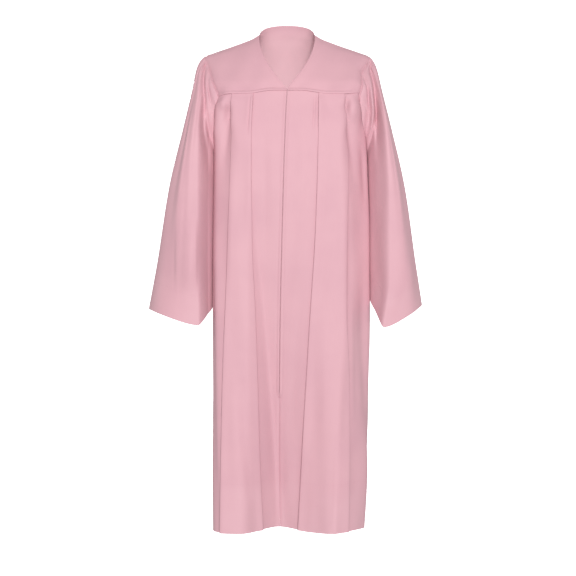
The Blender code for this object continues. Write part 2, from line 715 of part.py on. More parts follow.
def cloth(name, grid, finish, collection, closed=False, thick=WALL):
    """A grid of points as an open sheet, or a tube where it closes on itself, with the cloth's thickness."""
    rows, columns = grid.shape[:2]
    faces = []
    for i in range(rows - 1):
        for j in range(columns if closed else columns - 1):
            k = (j + 1) % columns
            faces.append((i * columns + j, (i + 1) * columns + j, (i + 1) * columns + k, i * columns + k))
    mesh = bpy.data.meshes.new(name)
    mesh.from_pydata([tuple(point) for point in grid.reshape(-1, 3)], [], faces)
    made = add_object(name, mesh, finish, collection)
    wall = made.modifiers.new("wall", "SOLIDIFY")
    wall.thickness = thick
    wall.offset = 0.0
    wall.use_even_offset = True
    return made


def zip_tape(front):
    """One tape of the zip: the front's own points beside its edge, moved to the inside."""
    down = np.gradient(front, axis=0)
    across = np.gradient(front, axis=1)
    inwards = np.cross(down, across)
    inwards /= np.linalg.norm(inwards, axis=2)[:, :, None]
    inwards *= np.sign(inwards[:, :, 1:2])
    level = WALL / 2 + SEAM_GAP + TAPE_THICK / 2
    tape = (front + inwards * level)[ZIP_ROWS, ZIP_COLUMNS]
    edge = tape[:, 0] - tape[:, 1]
    edge /= np.linalg.norm(edge, axis=1)[:, None]
    tape[:, 0] += edge * (ZIP_SLIT / 2 - TAPE_GAP / 2)
    return tape


def zip_slider(tape, finish, collection):
    """The slider's body, at the top of the closed zip, lying on the inside of the tapes."""
    width, depth, height = SLIDER_SIZE
    z = ZIP_TOP_Z - SLIDER_DROP
    x, y = (np.interp(z, tape[::-1, 0, 2], tape[::-1, 0, i]) for i in (0, 1))
    lean = math.atan2(tape[1, 0, 1] - tape[0, 0, 1], tape[0, 0, 2] - tape[1, 0, 2])
    inwards = TAPE_THICK / 2 + SEAM_GAP + depth / 2
    mesh = bpy.data.meshes.new("zip_slider")
    shape = bmesh.new()
    bmesh.ops.create_cube(shape, size=1.0)
    bmesh.ops.scale(shape, vec=(width, depth, height), verts=shape.verts)
    bmesh.ops.bevel(shape, geom=shape.edges[:], offset=SLIDER_ROUND, segments=2, affect="EDGES")
    shape.to_mesh(mesh)
    shape.free()
    made = add_object("zip_slider", mesh, finish, collection)
    made.location = (x - TAPE_GAP / 2, y + inwards * math.cos(lean), z + inwards * math.sin(lean))
    made.rotation_euler = (lean, 0.0, 0.0)


def build():
    for old in list(bpy.data.objects):
        bpy.data.objects.remove(old)
    robe = bpy.data.collections.new("choir_robe")
    bpy.context.scene.collection.children.link(robe)
    pink = material("pink_polyester", PINK, 0.55)
    tape_finish = material("zip_tape", TAPE_PINK, 0.8)

    for side, name in ((RIGHT, "right"), (LEFT, "left")):
        inner, outer = (RIGHT_INNER, RIGHT_OUTER) if side == RIGHT else (LEFT_INNER, LEFT_OUTER)
        front = half_panel(side, True, inner, outer)
        cloth(f"front_{name}", front if side == LEFT else front[:, ::-1], pink, robe)
        yoke = front_yoke(side)
        cloth(f"front_yoke_{name}", yoke if side == LEFT else yoke[:, ::-1], pink, robe)
        tube = sleeve(side)
        cloth(f"sleeve_{name}", tube if side == LEFT else tube[:, ::-1], pink, robe, closed=True)
        tape = zip_tape(front)
        cloth(f"zip_tape_{name}", tape, tape_finish, robe, thick=TAPE_THICK)

    cloth("back_yoke", back_yoke(), pink, robe)
    right_half = half_panel(RIGHT, False, BACK_INNER, BACK_OUTER)
    left_half = half_panel(LEFT, False, BACK_INNER, BACK_OUTER)
    cloth("back", np.concatenate([right_half[:, ::-1], left_half[:, 1:]], axis=1), pink, robe)
    zip_slider(tape, tape_finish, robe)


build()
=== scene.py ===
"""A worn choir robe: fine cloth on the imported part's form, its sewing, its closed zip and a studio.

Metres, +Z up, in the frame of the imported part. The wearer faces -Y, so the wearer's right side is at -X.
"""

import math

import bpy
import numpy as np
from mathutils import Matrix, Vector
from mathutils.kdtree import KDTree


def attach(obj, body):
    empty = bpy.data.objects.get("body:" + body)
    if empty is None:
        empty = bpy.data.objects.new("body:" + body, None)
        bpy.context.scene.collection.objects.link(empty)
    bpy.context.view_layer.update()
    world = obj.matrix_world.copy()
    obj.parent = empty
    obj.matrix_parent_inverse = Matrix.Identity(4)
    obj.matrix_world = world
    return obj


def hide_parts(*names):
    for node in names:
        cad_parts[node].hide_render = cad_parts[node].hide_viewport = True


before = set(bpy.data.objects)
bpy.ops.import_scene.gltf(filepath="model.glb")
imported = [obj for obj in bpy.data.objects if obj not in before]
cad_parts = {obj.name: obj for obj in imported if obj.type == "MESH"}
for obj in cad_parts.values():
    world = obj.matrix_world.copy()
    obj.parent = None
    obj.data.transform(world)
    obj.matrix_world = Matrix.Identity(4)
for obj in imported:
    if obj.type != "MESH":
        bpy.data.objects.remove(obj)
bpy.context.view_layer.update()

RIGHT, LEFT = -1, 1
SIDE_NAMES = {RIGHT: "right", LEFT: "left"}
# The way into the robe through its front, and through its back
INTO_ROBE = {True: (0.0, 1.0, 0.0), False: (0.0, -1.0, 0.0)}

# Cloth, and the parts turned under at its edges: how deep, and how far apart their rows lie
CLOTH = 0.0006
HEM_STEP = 0.001
BODY_HEM = (0.124, 0.01)
SLEEVE_HEM = (0.075, 0.008)
YOKE_HEM = (0.01, 0.0022)
FACING = (0.022, 0.004)
FACING_PALER = 0.4
# the paler band over a hem: how far under the hem's top it fades, over what run
HEM_BAND_UNDER, HEM_BAND_RUN, COLUMN_SPACING = 0.04, 0.055, 0.004
BACK_SEED, FRONT_SEED, SLEEVE_SEED = 8, 3, 9

# Sewing: the stitches, and how far from an edge each line runs
STITCH_PITCH = 0.0031
STITCH_LENGTH = 0.0025
STITCH_THICK = 0.00042
TAPER_FROM, TAPER = 0.24, 0.45
STITCH_PROUD = CLOTH / 2 + 0.00008
BODY_HEM_STITCH, SLEEVE_HEM_STITCH = BODY_HEM[0] - 0.004, SLEEVE_HEM[0] - 0.004
YOKE_STITCH, ARM_STITCH, NECK_STITCH = 0.0076, 0.0066, 0.005
ZIP_STITCH_COLUMN, ZIP_END_RUN, ZIP_END_LEAST = 5, 0.018, 0.08

# The zip's coil
TEETH_PITCH = 0.0014
TOOTH_SIZE, TOOTH_BEVEL = (0.003, 0.0011, 0.0008), 0.0003
TOOTH_INWARDS, TOOTH_ASIDE = 0.001, 0.0006
TEETH_FROM_TOP, TEETH_FROM_END = 0.004, 0.002

# Heights and seams
HEM_Z = -1.244
SHOULDER_Z = 0.004
YOKE_SEAM_Z = -0.1505
YOKE_SEAM_DROP = 0.008
YOKE_SEAM_LEVEL = (0.035, 0.1)
UNDERARM_Z = -0.3
ZIP_END_Z = -0.915
ZIP_END_BLEND = 0.012
CORNER_OUT = 0.1775
ZIP_EDGE = 0.0009
SEAM_EDGE = 0.00005

# The yoke's folded edge stands proud of the pleats, which run up under it
YOKE_PROUD = 0.0022
TUCK, TUCK_SHARE = 0.005, 0.06
PRESS_RUN = 0.022
PRESS_LEAST = 0.3
ARM_SEAM_DIP = 0.0016
ARM_SEAM_RUN = 0.0045
SEAM_ALLOWANCE, SEAM_SPREAD = 0.005, 0.0016
SEAM_UNDER = 0.0011

# Small ridges along edges: height, place from the edge, half width; a negative height stands out
ZIP_RIDGES = ((-0.0009, 0.0034, 0.0022), (0.0006, 0.0072, 0.0016))
SEAM_RIDGES = ((0.0012, 0.0, 0.003), (-0.0004, 0.005, 0.0025))
PUCKER_RIDGES = ((0.0012, 0.004, 0.003),)
PUCKER_RUN = 0.01
YOKE_RIDGES = ((-0.0009, 0.003, 0.0024), (0.0007, 0.0076, 0.0018))

# Unevenness of the cloth: size, and how long its waves are across and down
PANEL_DRIFT = (0.0006, 0.075, 0.42)
YOKE_DRIFT = (0.0011, 0.11, 0.16)
SLEEVE_DRIFT = (0.0007, 0.1, 0.36)
HEM_DRIFT = (0.02, 0.13, 1.0)
DRIFT_WAVES, DRIFT_PEAK = 6, 2.4
SLEEVE_SPACING, SLEEVE_LENGTH, SLEEVE_DRIFT_SEED = 0.07, 0.7, 41
CALM_RUN = 0.03  # it dies away this near an edge


def ease(value):
    """0 below 0, 1 above 1, and a smooth step between."""
    t = np.clip(value, 0.0, 1.0)
    return t * t * (3.0 - 2.0 * t)


def bell(value):
    """1 at 0, falling away softly on both sides."""
    return np.exp(-np.square(value))


def mixed(first, second, share):
    """From the first value at share 0 to the second at 1."""
    return first + (second - first) * share


def unit(vectors):
    """The same vectors at length 1."""
    return vectors / np.maximum(np.linalg.norm(vectors, axis=-1, keepdims=True), 1e-12)


def read(line, lengths, wanted):
    """A line's points, or whatever its rows hold, at the wanted lengths along it."""
    return np.stack([np.interp(wanted, lengths, column) for column in line.T], axis=-1)


def bent(value, soft):
    """From 0 at 0 to 1 at 1 in a straight run with a soft start."""
    return (np.sqrt(value**2 + soft**2) - soft) / (math.sqrt(1.0 + soft**2) - soft)


def ridges(places, table):
    """The sum of some small ridges at these places."""
    return sum(height * bell((places - place) / width) for height, place, width in table)


class Table:
    """A short table with named columns, read between its rows along a smooth curve with no overshoot."""

    def __init__(self, columns, *rows):
        data = np.array(sorted(rows), float)
        self.keys = data[:, 0]
        self.column = {name: data[:, i] for i, name in enumerate(columns.split())}
        self.slope = {}
        for name, values in self.column.items():
            rise = np.diff(values) / np.diff(self.keys)
            slope = np.zeros(len(values))
            slope[0], slope[-1] = rise[0], rise[-1]
            for i in range(1, len(rise)):
                if rise[i - 1] * rise[i] > 0:
                    slope[i] = 2.0 * rise[i - 1] * rise[i] / (rise[i - 1] + rise[i])
            self.slope[name] = slope

    def at(self, key, name):
        key = np.clip(key, self.keys[0], self.keys[-1])
        i = np.clip(np.searchsorted(self.keys, key, side="right") - 1, 0, len(self.keys) - 2)
        step = self.keys[i + 1] - self.keys[i]
        t = (key - self.keys[i]) / step
        values, slopes = self.column[name], self.slope[name]
        return (
            values[i] * (1 + 2 * t) * (1 - t) ** 2
            + slopes[i] * step * t * (1 - t) ** 2
            + values[i + 1] * t * t * (3 - 2 * t)
            + slopes[i + 1] * step * t * t * (t - 1)
        )


# The photograph's view: level, square on, so that the frame is this wide where the robe hangs
CAMERA_DISTANCE = 4.0
FRAME_WIDTH = 1.4746
CAMERA_AIM = (0.0026, 0.0, -0.643)
SENSOR_WIDTH = 36.0

# The body's plan outline at each height: a rounded oblong, before folds
BODY = Table(
    "z middle_x half_width front back square",
    (-0.1, 0.0, 0.189, 0.108, 0.116, 5.0),
    (-0.15, 0.0, 0.19, 0.116, 0.124, 5.0),
    (-0.23, 0.005, 0.1905, 0.134, 0.135, 4.2),
    (-0.33, 0.01, 0.193, 0.145, 0.14, 3.6),
    (-0.5, 0.011, 0.196, 0.149, 0.142, 3.4),
    (-0.7, 0.011, 0.198, 0.152, 0.146, 3.5),
    (-0.95, 0.011, 0.1975, 0.158, 0.153, 3.9),
    (-1.05, 0.0112, 0.198, 0.1615, 0.157, 4.1),
    (HEM_Z, 0.007, 0.193, 0.1665, 0.163, 4.4),
)

# From each outer pleat the front falls back in a flat run to the crisp edge of the body: its two ends
SIDE_RUNS = {
    RIGHT: Table(
        "z start_out start_y edge_out edge_y",
        (-0.19, 0.14, -0.122, 0.182, -0.098),
        (-0.4, 0.143, -0.136, 0.1815, -0.112),
        (-0.7, 0.158, -0.14, 0.1828, -0.128),
        (-0.9, 0.164, -0.144, 0.1845, -0.135),
        (HEM_Z, 0.172, -0.154, 0.1862, -0.146),
    ),
    LEFT: Table(
        "z start_out start_y edge_out edge_y",
        (-0.19, 0.145, -0.122, 0.189, -0.082),
        (-0.4, 0.151, -0.136, 0.2035, -0.09),
        (-0.7, 0.153, -0.14, 0.206, -0.093),
        (-0.9, 0.144, -0.144, 0.2045, -0.084),
        (-1.08, 0.137, -0.149, 0.2058, -0.081),
        (HEM_Z, 0.131, -0.154, 0.195, -0.081),
    ),
}
SIDE_SQUARE = 7.0
SIDE_SHARPNESS = 84.0
# the flat runs begin below this height, and are whole this far under it
SIDE_RUNS_Z, SIDE_RUNS_BLEND = -0.185, 0.075
LEAST_COSINE = 0.05  # keeps the runs finite beyond their ends

# The line of the zip and of the centre front seam below it
CENTRE_FRONT = Table(
    "z x",
    (-0.145, 0.001), (-0.18, -0.0015), (-0.3, -0.0062), (-0.5, -0.012), (-0.72, -0.017), (-0.9, -0.0192),
    (-1.05, -0.0205), (HEM_Z, -0.0165),
)

# The fronts sink between their inner pleats, more and more towards the hem
VALLEY = Table(
    "z bottom_x depth right_rim left_rim",
    (-0.4, -0.088, 0.0, -0.096, 0.078), (-0.514, -0.078, 0.01, -0.099, 0.08),
    (-0.72, -0.056, 0.026, -0.095, 0.09), (-0.92, -0.04, 0.045, -0.096, 0.112),
    (-1.08, -0.029, 0.063, -0.101, 0.132), (HEM_Z, -0.021, 0.08, -0.108, 0.148),
)
VALLEY_SOFTNESS = 0.16
# The front hem hangs unevenly: place across, rise and run
HEM_LINE = ((-0.021, 0.005, 0.05), (0.085, -0.005, 0.075), (-0.115, -0.002, 0.05))

# The folded edges of the knife pleats, inner and outer: distance out from the centre, and depth of the lap
# under them
PLEAT_COLUMNS = "z out lap"
FRONT_PLEATS = {
    RIGHT: (
        Table(
            PLEAT_COLUMNS,
            (-0.15, 0.0845, 0.01), (-0.256, 0.089, 0.01), (-0.514, 0.0893, 0.009), (-0.72, 0.0813, 0.008),
            (-0.92, 0.0764, 0.0075), (-1.116, 0.0713, 0.007), (HEM_Z, 0.0664, 0.0065),
        ),
        Table(
            PLEAT_COLUMNS,
            (-0.15, 0.1365, 0.01), (-0.31, 0.137, 0.01), (-0.55, 0.144, 0.009), (-0.72, 0.15, 0.008),
            (-0.92, 0.156, 0.0075), (HEM_Z, 0.16, 0.0065),
        ),
    ),
    LEFT: (
        Table(
            PLEAT_COLUMNS,
            (-0.15, 0.0802, 0.01), (-0.32, 0.0772, 0.01), (-0.514, 0.071, 0.009), (-0.72, 0.0587, 0.008),
            (-0.92, 0.0483, 0.0075), (-1.08, 0.04, 0.007), (HEM_Z, 0.0328, 0.0065),
        ),
        Table(
            PLEAT_COLUMNS,
            (-0.15, 0.142, 0.01), (-0.32, 0.149, 0.01), (-0.55, 0.146, 0.009), (-0.72, 0.144, 0.008),
            (-0.92, 0.15, 0.0075), (HEM_Z, 0.15, 0.0065),
        ),
    ),
}
BACK_PLEATS = (
    Table(
        PLEAT_COLUMNS,
        (-0.15, 0.048, 0.01), (-0.4, 0.05, 0.0095), (-0.75, 0.054, 0.008), (-1.0, 0.058, 0.0075),
        (HEM_Z, 0.062, 0.0065),
    ),
    Table(
        PLEAT_COLUMNS,
        (-0.15, 0.115, 0.01), (-0.4, 0.119, 0.0095), (-0.75, 0.126, 0.008), (-1.0, 0.132, 0.0075),
        (HEM_Z, 0.138, 0.0065),
    ),
)
RELIEF_RUN, RELIEF_LEAST = 0.02, 0.2

# From one layer of a pleat to the next, and how far a folded edge stands off: the pleats are sewn flat near
# the yoke, lie faint across the chest and stand up sharper below it
STACK = Table(
    "z step lift",
    (-0.145, 0.00085, 0.0), (-0.175, 0.0015, 0.0032), (-0.225, 0.0015, 0.0028), (-0.262, 0.001, 0.0),
    (-0.31, 0.0013, 0.0012), (-0.5, 0.0017, 0.0022), (-0.9, 0.0023, 0.003), (HEM_Z, 0.003, 0.0042),
)
LIFT_RUN, LIFT_UNDER = 0.012, 0.4
# painted shade round a pleat's folded edges, as a share of that in its laps
FOLD_SHADE = 0.35

# Soft folds: bearing round the body in degrees, 0 in front and positive to the wearer's left; depth is
# inwards, so a negative one stands out; each starts at one height, is deepest at the next and has died away
# at the last
SOFT_FOLDS = (
    # top bearing, hem bearing, spread, depth, start z, deepest z, end z
    (-52.5, -51.0, 3.6, 0.009, -0.165, -0.205, -0.42),
    (-60.5, -60.0, 3.4, -0.005, -0.16, -0.195, -0.3),
    (51.0, 53.0, 3.2, 0.008, -0.165, -0.2, -0.4),
    (59.0, 62.0, 3.4, -0.005, -0.16, -0.195, -0.3),
    (62.0, 66.0, 3.5, 0.006, -0.26, -0.345, -0.48),
    (57.0, 74.0, 5.0, 0.007, -0.56, -0.86, -1.6),
    (-88.0, -92.0, 15.0, 0.024, -0.45, -1.244, -1.6),
    (90.0, 94.0, 15.0, 0.026, -0.45, -1.244, -1.6),
    (-145.0, -152.0, 10.0, 0.038, -0.32, -1.244, -1.6),
    (146.0, 151.0, 10.0, 0.04, -0.32, -1.244, -1.6),
    (-179.0, -176.0, 8.0, 0.03, -0.5, -1.244, -1.6),
    (-120.0, -124.0, 6.0, 0.012, -0.7, -1.244, -1.6),
    (121.0, 118.0, 6.0, 0.012, -0.62, -1.244, -1.6),
)

# Creases laid on the body: out from the centre along the cloth and height, at both ends, width, and
# depth inwards
CREASES = {
    (RIGHT, True): (
        (0.104, -0.88, 0.1, -1.15, 0.013, 0.0036), (0.126, -0.33, 0.128, -0.7, 0.009, -0.0012),
        (0.048, -0.25, 0.044, -0.56, 0.01, 0.0009), (0.152, -0.25, 0.16, -0.33, 0.007, 0.0016),
        (0.17, -0.52, 0.168, -0.9, 0.01, -0.0018), (0.185, -0.6, 0.186, -1.24, 0.011, 0.003),
        (0.06, -0.215, 0.026, -0.25, 0.009, 0.0007), (0.16, -0.172, 0.158, -0.2, 0.011, -0.0075),
        (0.146, -0.198, 0.148, -0.228, 0.009, 0.007), (0.0905, -0.16, 0.0925, -0.262, 0.0018, 0.003),
    ),
    (LEFT, True): (
        (0.12, -0.56, 0.118, -1.0, 0.013, -0.0014), (0.04, -0.23, 0.066, -0.3, 0.01, 0.0008),
        (0.1, -0.18, 0.112, -0.215, 0.008, 0.0009), (0.163, -0.42, 0.176, -0.72, 0.008, 0.0022),
        (0.176, -0.64, 0.2, -0.96, 0.009, -0.0026), (0.048, -0.64, 0.03, -1.05, 0.012, 0.001),
        (0.15, -1.02, 0.146, -1.24, 0.012, 0.0026), (0.166, -0.176, 0.173, -0.22, 0.011, -0.007),
        (0.151, -0.164, 0.152, -0.2, 0.007, 0.0055), (0.071, -0.16, 0.07, -0.25, 0.002, 0.0032),
    ),
    (RIGHT, False): (
        (0.082, -0.23, 0.084, -0.62, 0.012, 0.0022), (0.145, -0.24, 0.16, -0.56, 0.013, -0.0034),
        (0.025, -0.42, 0.03, -0.9, 0.013, 0.0026), (0.168, -0.5, 0.19, -1.05, 0.015, 0.004),
        (0.095, -0.8, 0.1, -1.24, 0.014, 0.0036),
    ),
    (LEFT, False): (
        (0.084, -0.2, 0.08, -0.52, 0.011, 0.0024), (0.143, -0.23, 0.154, -0.5, 0.013, -0.003),
        (0.022, -0.56, 0.018, -1.0, 0.012, 0.0022), (0.172, -0.43, 0.186, -0.95, 0.014, 0.0036),
        (0.1, -0.7, 0.092, -1.24, 0.015, 0.004),
    ),
}

CREASE_END, CREASE_FADE = 0.1, 0.7

# Yoke edges: distance out from the centre plane, y, z
NECK_SIDE = (0.0717, 0.0, SHOULDER_Z)
SHOULDER_TIP = (0.2115, 0.008, -0.049)
SHOULDER_LINE = (
    NECK_SIDE,
    (0.09, 0.002, -0.0065), (0.13, 0.004, -0.0215), (0.17, 0.006, -0.035),
    SHOULDER_TIP,
)
FRONT_NECKLINE = (
    NECK_SIDE,
    (0.0713, -0.018, -0.01), (0.0699, -0.033, -0.0225), (0.0623, -0.057, -0.0504), (0.0541, -0.072, -0.0684),
    (0.0459, -0.083, -0.085), (0.0372, -0.092, -0.0986), (0.016, -0.108, -0.127), (0.0019, -0.115, -0.1462),
)
BACK_NECKLINE = (
    NECK_SIDE,
    (0.069, 0.018, 0.0125), (0.064, 0.033, 0.0215), (0.05, 0.049, 0.031), (0.025, 0.0585, 0.0372),
    (0.0, 0.0605, 0.0385),
)
FRONT_ARMHOLE = (
    SHOULDER_TIP,
    (0.2085, -0.01, -0.055), (0.203, -0.028, -0.071), (0.195, -0.052, -0.098), (0.1862, -0.078, -0.128),
)
BACK_ARMHOLE = (
    SHOULDER_TIP,
    (0.209, 0.026, -0.056), (0.203, 0.048, -0.074), (0.195, 0.07, -0.1), (0.1868, 0.088, -0.128),
)

# Sleeve sections down its length: outer edge, fold in front next to the body, inner side, back
SLEEVE_COLUMNS = "t outer_x outer_z fold_x fold_y fold_z inner_x inner_z back_x back_y back_z"
SLEEVES = {
    RIGHT: Table(
        SLEEVE_COLUMNS,
        (0.0, 0.2125, -0.05, 0.204, -0.028, -0.072, 0.186, -0.302, 0.204, 0.048, -0.074),
        (0.08, 0.229, -0.076, 0.211, -0.062, -0.112, 0.1868, -0.318, 0.206, 0.078, -0.115),
        (0.17, 0.2408, -0.138, 0.217, -0.101, -0.18, 0.185, -0.345, 0.209, 0.101, -0.18),
        (0.32, 0.2612, -0.232, 0.222, -0.129, -0.27, 0.1848, -0.395, 0.213, 0.114, -0.262),
        (0.55, 0.2955, -0.382, 0.224, -0.14, -0.42, 0.1848, -0.478, 0.219, 0.121, -0.39),
        (0.82, 0.33, -0.584, 0.223, -0.142, -0.622, 0.185, -0.6, 0.228, 0.124, -0.56),
        (1.0, 0.3505, -0.694, 0.219, -0.142, -0.7342, 0.186, -0.688, 0.236, 0.125, -0.662),
    ),
    LEFT: Table(
        SLEEVE_COLUMNS,
        (0.0, 0.2125, -0.05, 0.204, -0.028, -0.072, 0.193, -0.302, 0.204, 0.048, -0.074),
        (0.08, 0.2275, -0.076, 0.216, -0.06, -0.11, 0.2005, -0.318, 0.208, 0.078, -0.115),
        (0.17, 0.2402, -0.138, 0.232, -0.102, -0.178, 0.2037, -0.345, 0.214, 0.101, -0.18),
        (0.32, 0.262, -0.235, 0.246, -0.138, -0.27, 0.2058, -0.395, 0.221, 0.114, -0.262),
        (0.55, 0.295, -0.385, 0.254, -0.151, -0.42, 0.2072, -0.478, 0.23, 0.121, -0.39),
        (0.82, 0.3268, -0.584, 0.255, -0.152, -0.622, 0.2082, -0.59, 0.239, 0.124, -0.56),
        (1.0, 0.343, -0.684, 0.239, -0.148, -0.739, 0.2098, -0.672, 0.246, 0.125, -0.66),
    ),
}

# Steps round a sleeve: 0 outer edge, 2.5 front fold, 5 inner side, 7.5 back
ROUND, QUARTER = 10.0, 2.5
# The armhole seam takes the outer half of the cloth in a short stretch, PIN of the way from shoulder tip to
# corner
SLEEVE_MIDDLE_Y = 0.008
SLEEVE_PIN = 0.3
SLEEVE_HEAD = 0.2
SLEEVE_ROUND = 0.66
SLEEVE_TOUCH = 0.62
SLEEVE_TOUCH_DEPTH = 0.42
SLEEVE_FOLD_SOFTNESS = 0.36
SLEEVE_HEM_BOW = 1.12
SLEEVE_HEM_CORNER = 0.22
# the straight front of the sleeve's lower part: from this share of its length, and over what run
STRAIGHT_FROM, STRAIGHT_RUN = 0.45, 0.5
SLEEVE_CLEAR = 0.0004
HEAD_FALL = 0.002

# Gathers at the sleeve head: place, half width, height, and how far down the sleeve it dies away; each widens
# as it runs down, between wider troughs
GATHER_SPREAD, GATHER_TROUGH = 2.2, 2.2
GATHER_START, GATHER_RUN, GATHER_FADE = -0.004, 0.022, 0.03
GATHERS = {
    RIGHT: (
        (-2.15, 0.1, 0.003, 0.13), (-1.55, 0.16, 0.0026, 0.2), (-0.95, 0.17, 0.0032, 0.3),
        (-0.4, 0.13, 0.0024, 0.15), (0.05, 0.15, 0.0026, 0.18), (0.58, 0.12, 0.0022, 0.22),
        (1.08, 0.16, 0.0034, 0.4), (1.66, 0.11, 0.0026, 0.18), (2.06, 0.09, 0.003, 0.16),
        (2.38, 0.08, 0.0026, 0.12), (2.66, 0.08, 0.0022, 0.1), (2.94, 0.09, 0.002, 0.1),
        (7.1, 0.09, 0.0034, 0.18), (7.4, 0.09, 0.0046, 0.26), (7.68, 0.09, 0.0044, 0.3),
    ),
    LEFT: (
        (-2.1, 0.1, 0.0034, 0.15), (-1.5, 0.15, 0.0026, 0.18), (-0.9, 0.18, 0.003, 0.26),
        (-0.35, 0.12, 0.0022, 0.14), (0.1, 0.15, 0.0026, 0.2), (0.64, 0.13, 0.0024, 0.2),
        (1.16, 0.16, 0.003, 0.3), (1.72, 0.12, 0.003, 0.22), (2.12, 0.09, 0.003, 0.16),
        (2.42, 0.08, 0.0026, 0.12), (2.72, 0.08, 0.0022, 0.1), (3.02, 0.09, 0.0018, 0.1),
        (7.06, 0.09, 0.0034, 0.2), (7.34, 0.09, 0.0048, 0.28), (7.64, 0.09, 0.0042, 0.24),
    ),
}

# Long folds down a sleeve: place at the top, place at the hem, half width, depth, start, deepest, end
SLEEVE_FOLDS = {
    RIGHT: (
        (1.28, 1.34, 0.22, 0.0056, 0.1, 0.34, 0.8),
        (1.66, 1.76, 0.15, -0.0034, 0.12, 0.34, 0.8),
        (0.72, 0.62, 0.26, -0.0045, 0.12, 0.45, 1.05),
        (1.55, 1.52, 0.46, 0.006, 0.5, 0.84, 1.02),
        (2.1, 2.16, 0.14, 0.0022, 0.3, 0.6, 1.1),
        (8.6, 8.5, 0.26, 0.007, 0.12, 0.5, 1.2),
        (9.2, 9.15, 0.24, -0.005, 0.15, 0.55, 1.1),
        (8.05, 7.95, 0.18, -0.003, 0.3, 0.7, 1.15),
    ),
    LEFT: (
        (1.2, 1.3, 0.24, 0.0044, 0.1, 0.36, 0.86),
        (1.74, 1.84, 0.18, -0.0026, 0.14, 0.4, 0.9),
        (0.66, 0.6, 0.28, -0.0036, 0.12, 0.5, 1.05),
        (1.1, 1.0, 0.4, 0.0034, 0.55, 0.86, 1.05),
        (8.55, 8.45, 0.26, 0.0066, 0.12, 0.48, 1.2),
        (9.15, 9.2, 0.26, -0.0046, 0.15, 0.55, 1.1),
        (8.0, 7.9, 0.17, -0.0032, 0.26, 0.64, 1.15),
    ),
}
